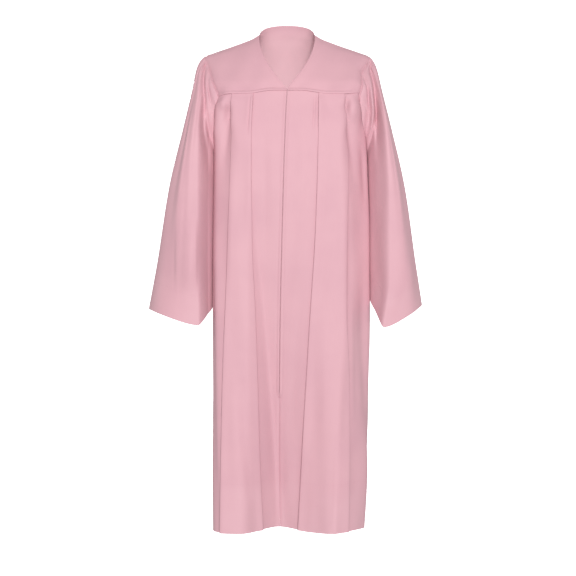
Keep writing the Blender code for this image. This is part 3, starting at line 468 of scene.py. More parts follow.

# Creases laid on the sleeves as they are seen from in front: across, up, half width towards the body
# and away from it, and depth back
SLEEVE_CREASES = {
    RIGHT: (
        # the long trough from the shoulder tip down to the dark inner side
        (
            (-0.2073, -0.0593, 0.0034, 0.0034, 0.003), (-0.2127, -0.0952, 0.004, 0.0042, 0.008),
            (-0.2145, -0.131, 0.0042, 0.0048, 0.01), (-0.214, -0.1745, 0.0046, 0.0054, 0.0105),
            (-0.2155, -0.2104, 0.005, 0.0066, 0.012), (-0.2145, -0.2411, 0.0056, 0.0074, 0.0135),
            (-0.2094, -0.2718, 0.0066, 0.009, 0.013), (-0.2048, -0.3102, 0.0076, 0.01, 0.008),
            (-0.2009, -0.3563, 0.008, 0.011, 0.0),
        ),
        # the roll between that trough and the seam
        (
            (-0.2083, -0.1003, 0.003, 0.0028, -0.0015), (-0.2063, -0.1412, 0.0036, 0.0032, -0.0035),
            (-0.2017, -0.1822, 0.0052, 0.0042, -0.0046), (-0.1945, -0.2283, 0.0072, 0.0056, -0.006),
            (-0.1894, -0.2718, 0.008, 0.0064, -0.006), (-0.1868, -0.3102, 0.007, 0.006, -0.003),
            (-0.1853, -0.3512, 0.006, 0.005, 0.0),
        ),
        # a short crescent by the seam
        (
            (-0.2007, -0.1054, 0.0024, 0.0026, 0.001), (-0.2032, -0.1259, 0.0026, 0.003, 0.004),
            (-0.2017, -0.1464, 0.0026, 0.003, 0.0045), (-0.1966, -0.1668, 0.0026, 0.0028, 0.0005),
        ),
        # the ridge that carries the light down the front
        (
            (-0.2188, -0.0696, 0.0036, 0.0042, -0.0018), (-0.2242, -0.1105, 0.0044, 0.0052, -0.004),
            (-0.2304, -0.1643, 0.0052, 0.0062, -0.0046), (-0.2391, -0.2334, 0.006, 0.0074, -0.004),
            (-0.2473, -0.2948, 0.007, 0.0084, -0.0034), (-0.2554, -0.3921, 0.008, 0.0094, -0.003),
            (-0.2624, -0.4945, 0.009, 0.01, -0.001),
        ),
        # a trough outside it
        (
            (-0.2237, -0.0747, 0.0028, 0.0032, 0.001), (-0.2314, -0.1105, 0.0032, 0.0038, 0.0036),
            (-0.2386, -0.154, 0.004, 0.0046, 0.004), (-0.2493, -0.2155, 0.005, 0.0058, 0.003),
            (-0.2606, -0.2948, 0.0062, 0.007, 0.0),
        ),
        # low on the front, a broad swell that turns the cloth outside it away
        (
            (-0.2406, -0.4536, 0.01, 0.03, 0.0), (-0.2393, -0.5201, 0.011, 0.04, -0.01),
            (-0.2419, -0.5918, 0.012, 0.042, -0.012), (-0.2457, -0.6532, 0.012, 0.036, -0.002),
        ),
    ),
    LEFT: (
        # the long step from the shoulder tip, steep beside the roll and slow on its outer side
        (
            (0.211, -0.0568, 0.0032, 0.004, 0.003), (0.2156, -0.0849, 0.0034, 0.006, 0.01),
            (0.2202, -0.1105, 0.0034, 0.008, 0.015), (0.2248, -0.1412, 0.0036, 0.01, 0.0185),
            (0.2279, -0.1745, 0.0038, 0.012, 0.0215), (0.2299, -0.2104, 0.0042, 0.013, 0.0215),
            (0.231, -0.2436, 0.0052, 0.0135, 0.016), (0.232, -0.2846, 0.007, 0.013, 0.007),
            (0.233, -0.3307, 0.009, 0.012, 0.0),
        ),
        # the roll between that step and the seam
        (
            (0.2071, -0.0696, 0.0028, 0.0026, -0.0015), (0.2105, -0.1028, 0.0034, 0.0026, -0.004),
            (0.2151, -0.1361, 0.0042, 0.003, -0.006), (0.2182, -0.172, 0.005, 0.0034, -0.008),
            (0.2182, -0.2078, 0.0056, 0.004, -0.0095), (0.2141, -0.2411, 0.006, 0.005, -0.0095),
            (0.2089, -0.2744, 0.0056, 0.005, -0.006), (0.2059, -0.3102, 0.0044, 0.0044, 0.0),
        ),
        # a crease by the seam
        (
            (0.1951, -0.0952, 0.0022, 0.0026, 0.002), (0.2007, -0.1208, 0.0024, 0.0028, 0.0055),
            (0.2059, -0.1464, 0.0024, 0.003, 0.006), (0.2084, -0.1745, 0.0024, 0.0028, 0.0045),
            (0.2069, -0.2052, 0.0024, 0.0026, 0.0005),
        ),
        # a soft ridge outside the step
        (
            (0.2289, -0.0747, 0.0036, 0.0042, -0.0012), (0.2407, -0.1259, 0.005, 0.006, -0.003),
            (0.2504, -0.1822, 0.0062, 0.0074, -0.003), (0.2586, -0.2488, 0.0072, 0.0084, -0.0018),
            (0.2647, -0.3153, 0.008, 0.009, 0.0),
        ),
        # a shallow trough along the outer edge
        (
            (0.2368, -0.1003, 0.0034, 0.0038, 0.001), (0.2484, -0.1515, 0.0046, 0.0056, 0.0026),
            (0.2612, -0.2232, 0.006, 0.0066, 0.0026), (0.2752, -0.3051, 0.0072, 0.008, 0.0018),
            (0.2893, -0.4075, 0.0082, 0.009, 0.0),
        ),
    ),
}

# Small moves that settle the cloth round the armholes: place, reach and shift
SETTLING = (
    ((0.195, -0.052, -0.095), 0.02, (-0.0055, 0.0, 0.0)),
    ((0.18, -0.09, -0.144), 0.022, (0.005, 0.0, 0.006)),
    ((0.188, -0.092, -0.2), 0.026, (0.0034, 0.0, 0.0)),
    ((-0.178, -0.095, -0.156), 0.024, (0.007, -0.001, -0.004)),
)

CREASE_SMOOTHING, CREASE_REACH = 3, 0.04
PRESSED_RUN = 0.01

# Where a sleeve hangs this close to the body it rests against it
REST_REACH, REST_BLEND, REST_GAP = 0.011, 0.006, 0.0004
REST_MOST_OUT, REST_TOP_Z = 0.225, -0.15

# How finely each sheet is divided
BEARINGS = np.arange(-180.0, 180.0, 0.5)
LEVELS = np.concatenate([np.arange(-0.135, -0.21, -0.003), np.linspace(-0.21, HEM_Z, 150)])
SEAM_LEVEL = 4  # a level just above the yoke seam
CURVE_STEPS = 12
TURN_ANGLES = np.radians([-60.0, -30.0, 0.0, 30.0, 60.0])
UNDER_ANGLES = np.radians([36.0, 72.0, 108.0, 144.0, 180.0])
SIDE_ANGLES = np.radians(np.linspace(0.0, 90.0, 22)[1:])
SIDE_SHARES = 1.0 - np.cos(SIDE_ANGLES)
UNDERARM_ANGLES = np.radians(np.linspace(0.0, 90.0, 37))
CENTRE_OFFSETS = np.array([0.0, 0.0008, 0.0018, 0.0032, 0.005, 0.0072])
FOLD_OFFSETS = np.array([0.0007, 0.0016])
BESIDE_FOLD = 0.002
LAP_POINTS = 4
NEAR_SEAM = np.array([0.0, 0.0012, 0.0026, 0.0044, 0.0066, 0.0092, 0.0122, 0.0156, 0.0194])
NEAR_HEM = np.array([0.006, 0.0036, 0.0018, 0.0008, 0.0])
FRONT_COLUMNS = {"under": 31, "top": 25, "band": 12}
BACK_COLUMNS = {"under": 17, "top": 26, "band": 12}
FRONT_ROWS, BACK_ROWS = 225, 165
YOKE_ROWS, YOKE_COLUMNS, BACK_YOKE_COLUMNS = 44, 64, 150
EDGE_OFFSETS = (0.0006, 0.0014, 0.0026, 0.0044, 0.007)
# lengths of a front yoke and of the back yoke, down and across
FRONT_YOKE_SIZE, BACK_YOKE_SIZE = (0.13, 0.16), (0.17, 0.46)
BACK_YOKE_ROUNDS = 16
STEP_RUNS = ((-2.0, 1.5, 50), (1.5, 3.6, 66), (3.6, 6.8, 24), (6.8, 8.0, 30))
SLEEVE_STEPS = np.concatenate([np.linspace(*run, endpoint=False) for run in STEP_RUNS])
SLEEVE_SHARES = [np.linspace(0.0, 0.2, 72)[:-1], np.linspace(0.2, 0.992, 131), [0.995, 0.9975, 1.0]]
SLEEVE_SHARES = np.concatenate(SLEEVE_SHARES)


def drift(along_cloth, down, seed, size, wide, long):
    """Slight unevenness of hanging cloth: a sum of a few slow waves, the same in every run."""
    random = np.random.default_rng(seed)
    total = 0.0
    for _ in range(DRIFT_WAVES):
        across = random.uniform(0.6, 1.6) / wide
        downwards = random.uniform(-1.4, 1.4) / long
        phase = random.uniform(0.0, 2.0 * math.pi)
        total = total + np.sin(2.0 * math.pi * (along_cloth * across + down * downwards) + phase)
    return size * total / DRIFT_PEAK


def apart_round(places, middle, whole):
    """How far places on a closed round lie from a middle, by the shorter way."""
    return (places - middle + whole / 2) % whole - whole / 2


def inward(x, y):
    """Unit vectors into the body, square to a closed plan outline."""
    ahead = unit(np.stack([np.roll(x, -1) - np.roll(x, 1), np.roll(y, -1) - np.roll(y, 1)], axis=1))
    return np.stack([-ahead[:, 1], ahead[:, 0]], axis=1)


def valley(x, z):
    """How far the fronts sink at x: a V from rim to rim, soft at its rims and its bottom."""
    soft = VALLEY_SOFTNESS
    bottom, depth = VALLEY.at(z, "bottom_x"), VALLEY.at(z, "depth")
    right, left = VALLEY.at(z, "right_rim"), VALLEY.at(z, "left_rim")
    from_right, from_left = (x - right) / (bottom - right), (left - x) / (left - bottom)
    apart = np.sqrt((from_right - from_left) ** 2 + soft**2)
    down = 0.5 * (from_right + from_left - apart) / (1.0 - 0.5 * soft)
    # 0 above the rims, down itself well below them, and a soft bend between
    down = 0.5 * (down + np.sqrt(down**2 + soft**2)) - 0.5 * (math.sqrt(1.0 + soft**2) - 1.0)
    return depth * np.maximum(down, 0.0)


def oblong(bearing, width, depth, square):
    """Reach of a rounded oblong from its middle; the higher square is, the sharper its corners."""
    shares = (np.abs(np.sin(bearing)) / width) ** square + (np.abs(np.cos(bearing)) / depth) ** square
    return shares ** (-1.0 / square)


def flat_sides(bearing, z):
    """Reach of the front outline from its middle where flat runs take the place of its round corners."""
    plain = oblong(bearing, BODY.at(z, "half_width"), BODY.at(z, "front"), SIDE_SQUARE)
    total = plain**-SIDE_SHARPNESS
    for side, table in SIDE_RUNS.items():
        shift = side * BODY.at(z, "middle_x")
        start_x, edge_x = table.at(z, "start_out") - shift, table.at(z, "edge_out") - shift
        start_y, edge_y = -table.at(z, "start_y"), -table.at(z, "edge_y")
        towards = math.atan2(start_y - edge_y, edge_x - start_x)
        away = start_x * math.sin(towards) + start_y * math.cos(towards)
        total = total + (away / np.maximum(np.cos(side * bearing - towards), LEAST_COSINE)) ** -SIDE_SHARPNESS
    return total ** (-1.0 / SIDE_SHARPNESS)


def ring(z):
    """The body's outline at height z with its soft folds: x before the folds, points, inward vectors."""
    bearing = np.radians(BEARINGS)
    in_front = np.abs(BEARINGS) <= 90.0
    depth = np.where(in_front, BODY.at(z, "front"), BODY.at(z, "back"))
    reach = oblong(bearing, BODY.at(z, "half_width"), depth, BODY.at(z, "square"))
    reach = mixed(reach, flat_sides(bearing, z), in_front * ease((SIDE_RUNS_Z - z) / SIDE_RUNS_BLEND))
    x = BODY.at(z, "middle_x") + reach * np.sin(bearing)
    y = -reach * np.cos(bearing)
    sink = valley(x, z) * in_front
    for top_bearing, hem_bearing, spread, height, start_z, deepest_z, end_z in SOFT_FOLDS:
        amount = ease((start_z - z) / (start_z - deepest_z)) * ease((z - end_z) / (deepest_z - end_z))
        middle = mixed(top_bearing, hem_bearing, ease((start_z - z) / (start_z - HEM_Z)))
        sink = sink + height * amount * bell(apart_round(BEARINGS, middle, 360.0) / spread)
    points = np.stack([x, y], axis=1) + inward(x, y) * sink[:, None]
    return x, points, inward(points[:, 0], points[:, 1])


class Strip:
    """Half of the body's outline at one height, centre to side seam, measured along the cloth."""

    def __init__(self, z, side, at_front):
        x, points, inwards = ring(z)
        start_x = CENTRE_FRONT.at(z, "x") if at_front else 0.0
        bearing = BEARINGS if at_front else (BEARINGS + 360.0) % 360.0
        centre_bearing, side_bearing = (0.0, 90.0 * side) if at_front else (180.0, 180.0 - 90.0 * side)
        order = np.flatnonzero(np.abs(bearing - centre_bearing) <= 90.0)
        order = order[np.argsort(x[order])]
        outline = np.concatenate([x[:, None], points, inwards], axis=1)
        first = read(outline[order], x[order], start_x)
        chosen = order[(x[order] - start_x) * side > 1e-5]
        chosen = chosen[np.argsort(np.abs(bearing[chosen] - side_bearing))[::-1]]
        rows = np.concatenate([first[None], outline[chosen]])
        self.out = np.maximum.accumulate(rows[:, 0] * side)
        self.points, self.inwards = rows[:, 1:3], rows[:, 3:5]
        self.lengths = lengths_along(self.points)
        self.end = self.lengths[-1]

    def where(self, out):
        """Length along the cloth to the line that lies this far out from the centre plane."""
        rising = self.out + np.arange(len(self.out)) * 1e-9
        return float(np.interp(out, rising, self.lengths))

    def outs(self, lengths):
        return np.interp(lengths, self.lengths, self.out)

    def plan(self, lengths, levels):
        """Plan points at these lengths along the cloth, moved inwards by their levels."""
        into = unit(read(self.inwards, self.lengths, lengths))
        return read(self.points, self.lengths, lengths) + into * np.asarray(levels)[:, None]


def yoke_seam_z(out):
    """The yoke seam runs level across the chest and rises a little to the centre."""
    low, high = YOKE_SEAM_LEVEL
    return YOKE_SEAM_Z - YOKE_SEAM_DROP * ease((np.asarray(out) - low) / (high - low))


def corner_share(side, at_front):
    """Share of the half outline at which the yoke seam ends at the armhole."""
    strip = Strip(float(yoke_seam_z(CORNER_OUT)), side, at_front)
    return strip.where(CORNER_OUT) / strip.end


def turn(at, low, high, towards):
    """Lengths and levels round a folded edge, from one layer to the next."""
    lengths = at + towards * abs(high - low) / 2 * np.cos(TURN_ANGLES)
    return lengths, (low + high) / 2 + (high - low) / 2 * np.sin(TURN_ANGLES)


def pleated_path(strip, z, start, inner, outer, corner, columns):
    """Along one pleated half, centre to side seam: lengths, levels, and the painted shade of points that lie
    under a fold.
    """
    step, lift = STACK.at(z, "step"), STACK.at(z, "lift")
    inner_at, outer_at = strip.where(inner.at(z, "out")), strip.where(outer.at(z, "out"))
    inner_end, outer_end = inner_at + inner.at(z, "lap"), outer_at - outer.at(z, "lap")
    corner_at = corner * strip.end
    low_edge, high_edge = -step - LIFT_UNDER * lift, -2.0 * step - lift
    centre = start + CENTRE_OFFSETS
    under = np.linspace(centre[-1], inner_at - BESIDE_FOLD, columns["under"])[1:]
    under = np.concatenate([centre, under])
    top = np.linspace(inner_at, outer_at, columns["top"] + 1)
    top = np.sort(np.concatenate([top, inner_at + FOLD_OFFSETS, outer_at - FOLD_OFFSETS]))
    near_edge = bell((top - inner_at) / LIFT_RUN) + bell((outer_at - top) / LIFT_RUN)
    band = np.linspace(outer_at + BESIDE_FOLD, corner_at, columns["band"])
    side = corner_at + (strip.end - corner_at) * SIDE_SHARES
    lap_in = np.linspace(inner_at, inner_end, LAP_POINTS)
    lap_out = np.linspace(outer_end, outer_at, LAP_POINTS)
    flat = np.zeros(LAP_POINTS)
    slope = np.linspace(-step, low_edge, LAP_POINTS)
    # the third value of each part is painted shade: full in the laps under a fold, FOLD_SHADE round the
    # folded edges
    parts = (
        (under, np.zeros(len(under)), 0.0),
        (lap_in, flat, 1.0),
        turn(inner_end, 0.0, -step, 1) + (1.0,),
        (lap_in[::-1], slope, 1.0),
        turn(inner_at, low_edge, high_edge, -1) + (FOLD_SHADE,),
        (top, -2.0 * step - lift * near_edge, 0.0),
        turn(outer_at, high_edge, low_edge, 1) + (FOLD_SHADE,),
        (lap_out[::-1], slope[::-1], 1.0),
        turn(outer_end, -step, 0.0, -1) + (1.0,),
        (lap_out, flat, 1.0),
        (band, np.zeros(len(band)), 0.0),
        (side, np.zeros(len(side)), 0.0),
    )
    lengths, levels = [np.concatenate([part[i] for part in parts]) for i in (0, 1)]
    return lengths, levels, np.concatenate([np.full(len(part[0]), part[2]) for part in parts])


def crease_depth(creases, a, z):
    """How far the hand-laid creases push the cloth in at these places."""
    total = np.zeros(len(a))
    for a0, z0, a1, z1, width, depth in creases:
        da, dz = a1 - a0, z1 - z0
        middle = np.clip(((a - a0) * da + (z - z0) * dz) / (da * da + dz * dz), 0.0, 1.0)
        away = np.hypot(a - a0 - middle * da, z - z0 - middle * dz)
        fade = np.sin(math.pi * (CREASE_END + (1.0 - 2.0 * CREASE_END) * middle)) ** CREASE_FADE
        total += depth * fade * bell(away / width)
    return total


def centre_relief(lengths, z):
    """The centre front: folded edges beside the zip with a stitched dip, and a plain seam below."""
    zipped = float(ease((z - ZIP_END_Z) / ZIP_END_BLEND))
    pucker = bell((z - ZIP_END_Z) / PUCKER_RUN) * ridges(lengths, PUCKER_RIDGES)
    return ridges(lengths, ZIP_RIDGES) * zipped + ridges(lengths, SEAM_RIDGES) * (1.0 - zipped) + pucker


def row_shares(rows, length):
    """Shares of a panel's length from its seam to its hem: close together at both ends."""
    near, hem = NEAR_SEAM / length, 1.0 - NEAR_HEM / length
    middle = np.linspace(near[-1], hem[0], rows - len(near) - len(hem) + 2)[1:-1]
    return np.concatenate([near, middle, hem])


def half_panel(side, at_front, inner, outer, columns, rows):
    """One pleated half from the centre to the side seam: its points, and the painted shade of each that lies
    under a fold.
    """
    corner = corner_share(side, at_front)
    seed = (3 if side == RIGHT else 5) + (0 if at_front else 20)
    plans = []
    for z in LEVELS:
        strip = Strip(z, side, at_front)
        start = 0.0
        if at_front:
            start = mixed(SEAM_EDGE, ZIP_EDGE, float(ease((z - ZIP_END_Z) / ZIP_END_BLEND)))
        lengths, levels, depth = pleated_path(strip, z, start, inner, outer, corner, columns)
        below = yoke_seam_z(strip.outs(lengths)) - z
        relief = crease_depth(CREASES[side, at_front], lengths, z)
        relief += drift(lengths, z, seed, *PANEL_DRIFT) * ease(below / CALM_RUN)
        if at_front:
            relief += centre_relief(lengths, z)
        press = mixed(PRESS_LEAST, 1.0, ease(below / PRESS_RUN))
        plans.append(strip.plan(lengths, levels * press + relief * ease(below / RELIEF_RUN + RELIEF_LEAST)))
    plans = np.array(plans)
    count = plans.shape[1]
    under_yoke = count - len(SIDE_SHARES)
    top_z = np.empty(count)
    top_z[:under_yoke] = yoke_seam_z(plans[SEAM_LEVEL, :under_yoke, 0] * side) + TUCK
    top_z[under_yoke:] = armhole_z(SIDE_SHARES) + TUCK * (1.0 - ease(SIDE_SHARES / TUCK_SHARE))
    hem_z = np.full(count, HEM_Z)
    if at_front:
        for place, rise, run in HEM_LINE:
            hem_z += rise * bell((plans[-1, :, 0] - place) / run)
    shares = row_shares(rows, top_z[0] - HEM_Z)
    grid = np.empty((rows, count, 3))
    for j in range(count):
        grid[:, j, 2] = mixed(top_z[j], hem_z[j], shares)
        grid[:, j, :2] = read(plans[::-1, j], LEVELS[::-1], grid[:, j, 2])
    fall = np.linalg.norm(grid - grid[:1], axis=2)
    arm = ease((np.arange(count) - under_yoke + 2) / 3.0)
    dip = ARM_SEAM_DIP * bell(fall / ARM_SEAM_RUN) * arm
    grid = grid + normals(grid, INTO_ROBE[at_front]) * dip[:, :, None]
    return settled(grid), np.broadcast_to(depth, grid.shape[:2])


def seen(points):
    """Where the photograph shows points: across and up, on the upright plane through the origin."""
    middle_x, _, middle_z = CAMERA_AIM
    scale = CAMERA_DISTANCE / (CAMERA_DISTANCE + points[..., 1])
    return middle_x + (points[..., 0] - middle_x) * scale, middle_z + (points[..., 2] - middle_z) * scale


def creased(grid, creases, side):
    """The sheet pushed back, or forward, along creases that were given as seen from in front."""
    across, up = seen(grid)
    back = np.zeros(across.shape)
    for crease in creases:
        line = smooth_line(crease)
        low, high = line.min(axis=0)[:2] - CREASE_REACH, line.max(axis=0)[:2] + CREASE_REACH
        near = (across > low[0]) & (across < high[0]) & (up > low[1]) & (up < high[1]) & (grid[:, :, 1] < 0.0)
        away = np.hypot(across[near][:, None] - line[:, 0], up[near][:, None] - line[:, 1])
        nearest = away.argmin(axis=1)
        outer_side = (across[near] - line[nearest, 0]) * side > 0
        width = np.where(outer_side, line[nearest, 3], line[nearest, 2])
        depth = line[nearest, 4] * bell(away[np.arange(len(nearest)), nearest] / width)
        back[near] += depth * ease(-grid[near][:, 1] / CALM_RUN)
    moved = grid.copy()
    moved[:, :, 1] += smoothed(back, CREASE_SMOOTHING)
    return moved


def smoothed(values, times):
    """Values over a closed sheet, each moved towards its neighbours a few times."""
    for _ in range(times):
        values = (np.roll(values, 1, axis=1) + 2.0 * values + np.roll(values, -1, axis=1)) / 4.0
        values[1:-1] = (values[:-2] + 2.0 * values[1:-1] + values[2:]) / 4.0
    return values


def settled(grid):
    """The sheet after the small moves round the armholes."""
    moved = grid.copy()
    for place, reach, shift in SETTLING:
        share = bell(np.linalg.norm(grid - place, axis=2) / reach)
        moved += share[:, :, None] * np.array(shift)
    return moved


def normals(grid, towards, closed=False):
    """Unit vectors square to a sheet, on the side of it that on the whole looks this way."""
    across = np.roll(grid, -1, axis=1) - np.roll(grid, 1, axis=1) if closed else np.gradient(grid, axis=1)
    square = unit(np.cross(np.gradient(grid, axis=0), across))
    return -square if np.sum(square * towards) < 0 else square


def armhole_z(share):
    """Height of the armhole's lower quarter, from the corner of the yoke (share 0) to the underarm (1)."""
    corner_z = float(yoke_seam_z(CORNER_OUT))
    return mixed(corner_z, UNDERARM_Z, np.sqrt(1.0 - (1.0 - np.asarray(share)) ** 2))


def curve_weights(count, place):
    """Weights of evenly spaced points on a smooth curve through them, read at places counted in points."""
    weights = np.zeros((len(place), count + 2))
    first = np.minimum(place.astype(int), count - 2)
    t = place - first
    rows = np.arange(len(place))
    weights[rows, first] += 0.5 * (-t + 2 * t**2 - t**3)
    weights[rows, first + 1] += 0.5 * (2 - 5 * t**2 + 3 * t**3)
    weights[rows, first + 2] += 0.5 * (t + 4 * t**2 - 3 * t**3)
    weights[rows, first + 3] += 0.5 * (-(t**2) + t**3)
    ends = np.zeros((count + 2, count))
    ends[1:-1] = np.eye(count)
    ends[0, :2], ends[-1, -2:] = (2.0, -1.0), (-1.0, 2.0)
    return weights @ ends


def smooth_line(points):
    """A dense curve through the points, whose rows may hold more than a place."""
    count = len(points)
    return curve_weights(count, np.arange((count - 1) * CURVE_STEPS + 1) / CURVE_STEPS) @ np.asarray(points)


def lengths_along(line):
    return np.concatenate([[0.0], np.cumsum(np.linalg.norm(np.diff(line, axis=0), axis=1))])


def along(line, shares):
    """Points at shares of a line's length."""
    lengths = lengths_along(line)
    return read(line, lengths, np.asarray(shares) * lengths[-1])


def on_side(points, side):
    return np.asarray(points, float) * (side, 1.0, 1.0)


def outline_point(z, side, at_front, where, level):
    """A point of the body's outline at height z, at the length along the cloth that where finds."""
    strip = Strip(z, side, at_front)
    return np.append(strip.plan(np.array([where(strip)]), [level])[0], z)


def seam_point(side, out, at_front):
    """A point of the folded edge of a yoke, just proud of the body's outline."""
    return outline_point(float(yoke_seam_z(out)), side, at_front, lambda strip: strip.where(out), -YOKE_PROUD)


def lower_armhole(side, at_front):
    """The armhole from the corner of the yoke to the underarm."""
    corner = corner_share(side, at_front)
    points = []
    for share in 1.0 - np.cos(UNDERARM_ANGLES):
        place, z = mixed(corner, 1.0, share), float(armhole_z(share))
        points.append(outline_point(z, side, at_front, lambda strip: place * strip.end, 0.0))
    return np.array(points)


def split_line(back_points, front_points):
    """One smooth line through both lists, which share their first point, cut in two there."""
    line = smooth_line(list(back_points)[::-1] + list(front_points)[1:])
    cut = (len(back_points) - 1) * CURVE_STEPS
    return line[: cut + 1][::-1], line[cut:]


def neck_lines(side):
    """The neckline from the side of the neck to the centre: back half, front half."""
    across = BACK_NECKLINE[-2]
    back, front = split_line(BACK_NECKLINE + ((-across[0],) + across[1:],), FRONT_NECKLINE)
    return on_side(back[:-CURVE_STEPS], side), on_side(front, side)


def armhole_lines(side):
    """The armhole from the shoulder tip to the corners of the yoke: back, front."""
    back, front = [tuple(seam_point(side, CORNER_OUT, at_front) * (side, 1, 1)) for at_front in (False, True)]
    back, front = split_line(BACK_ARMHOLE + (back,), FRONT_ARMHOLE + (front,))
    return on_side(back, side), on_side(front, side)


def patch(top, bottom, first, last, guide):
    """A sheet between four edges: columns run from top to bottom, and all bow the way the guide edge does."""
    bow = ((guide - guide[0]) / (guide[-1] - guide[0]))[:, None, :]
    base = top[None] + (bottom - top)[None] * bow
    u = np.linspace(0.0, 1.0, len(top))[None, :, None]
    return base + (1 - u) * (first[:, None] - base[:, :1]) + u * (last[:, None] - base[:, -1:])


def relaxed(grid, rounds):
    """The same sheet with its inner points eased towards their neighbours, its edges kept."""
    for _ in range(rounds):
        around = grid[:-2, 1:-1] + grid[2:, 1:-1] + grid[1:-1, :-2] + grid[1:-1, 2:]
        grid[1:-1, 1:-1] = 0.5 * grid[1:-1, 1:-1] + 0.125 * around
    return grid


def edge_shares(count, length):
    """Shares along a line of this length, close together at both ends."""
    near = np.concatenate([[0.0], EDGE_OFFSETS]) / length
    return np.concatenate([near, np.linspace(near[-1], 1.0 - near[-1], count)[1:-1], 1.0 - near[::-1]])


def yoke_sheet(coarse, rows_and_columns, size, at_front, arms, seed):
    """A yoke's fine points and inward vectors: armhole seams that sink, a ridge along the folded edge."""
    weights = []
    for points, count, length in zip(coarse.shape, rows_and_columns, size):
        places = np.clip(edge_shares(count, length), 0.0, 1.0) * (points - 1)
        weights.append(curve_weights(points, places))
    grid = np.einsum("ia,abk,jb->ijk", weights[0], coarse, weights[1])
    square = normals(grid, INTO_ROBE[at_front])
    from_first, from_last = [np.linalg.norm(grid - grid[:, [i]], axis=2) for i in (0, -1)]
    below_top, above_edge = [np.linalg.norm(grid - grid[[i]], axis=2) for i in (0, -1)]
    dip = ARM_SEAM_DIP * bell(from_last / ARM_SEAM_RUN) * arms[1]
    dip = dip + ARM_SEAM_DIP * bell(from_first / ARM_SEAM_RUN) * arms[0]
    uneven = drift(grid[:, :, 0], grid[:, :, 2], seed, *YOKE_DRIFT)
    for away in (above_edge, below_top, from_first, from_last):
        uneven = uneven * ease(away / CALM_RUN)
    return settled(grid + square * (dip + ridges(above_edge, YOKE_RIDGES) + uneven)[:, :, None]), square


def front_yoke(side):
    """A front yoke: rows from the shoulder seam to the yoke seam, columns from the neck to the armhole."""
    shares = np.linspace(0.0, 1.0, 9)
    top = along(smooth_line(on_side(SHOULDER_LINE, side)), shares)
    centre = CENTRE_FRONT.at(YOKE_SEAM_Z, "x") * side + ZIP_EDGE
    bottom = np.array([seam_point(side, out, True) for out in mixed(centre, CORNER_OUT, shares)])
    neck = np.concatenate([along(neck_lines(side)[1], np.linspace(0.0, 1.0, 8)), bottom[:1]])
    arm = along(armhole_lines(side)[1], shares)
    arm[-1] = bottom[-1]
    coarse = patch(top, bottom, neck, arm, arm)
    return yoke_sheet(coarse, (YOKE_ROWS, YOKE_COLUMNS), FRONT_YOKE_SIZE, True, (False, True), 11 + side)


def back_yoke():
    """The back yoke: rows from the neck and shoulder seams down, columns from right to left armhole."""
    shares = np.linspace(0.0, 1.0, 9)
    halves = []
    for side in (RIGHT, LEFT):
        shoulder = along(smooth_line(on_side(SHOULDER_LINE, side)), shares[::-1])
        neck = along(neck_lines(side)[0], np.linspace(0.0, 1.0, 5))
        halves.append(np.concatenate([shoulder, neck[1:]]))
    top = np.concatenate([halves[0], halves[1][::-1][1:]])
    outs = np.linspace(-CORNER_OUT, CORNER_OUT, len(top))
    bottom = np.array([seam_point(RIGHT if out < 0 else LEFT, abs(out), False) for out in outs])
    first, last = [along(armhole_lines(side)[0], shares) for side in (RIGHT, LEFT)]
    first[-1], last[-1] = bottom[0], bottom[-1]
    coarse = relaxed(patch(top, bottom, first, last, first), BACK_YOKE_ROUNDS)
    return yoke_sheet(coarse, (YOKE_ROWS, BACK_YOKE_COLUMNS), BACK_YOKE_SIZE, False, (True, True), 31)


def sleeve_head(side):
    """Points of the sleeve's head at the steps round it, on the armhole."""
    back, front = armhole_lines(side)
    under_front, under_back = lower_armhole(side, True), lower_armhole(side, False)

    def part(line, low, high):
        return along(line, np.linspace(low, high, 49))

    quarters = (
        part(front, 0.0, SLEEVE_PIN),
        np.concatenate([part(front, SLEEVE_PIN, 1.0), under_front[1:]]),
        np.concatenate([under_back[::-1], part(back, SLEEVE_PIN, 1.0)[::-1][1:]]),
        part(back, 0.0, SLEEVE_PIN)[::-1],
    )
    step = np.mod(SLEEVE_STEPS, ROUND)
    found = np.empty((len(step), 3))
    for quarter, line in enumerate(quarters):
        here = (step // QUARTER).astype(int) == quarter
        found[here] = along(line, (step[here] - QUARTER * quarter) / QUARTER)
    return found + np.array([side * SLEEVE_CLEAR, 0.0, 0.0])


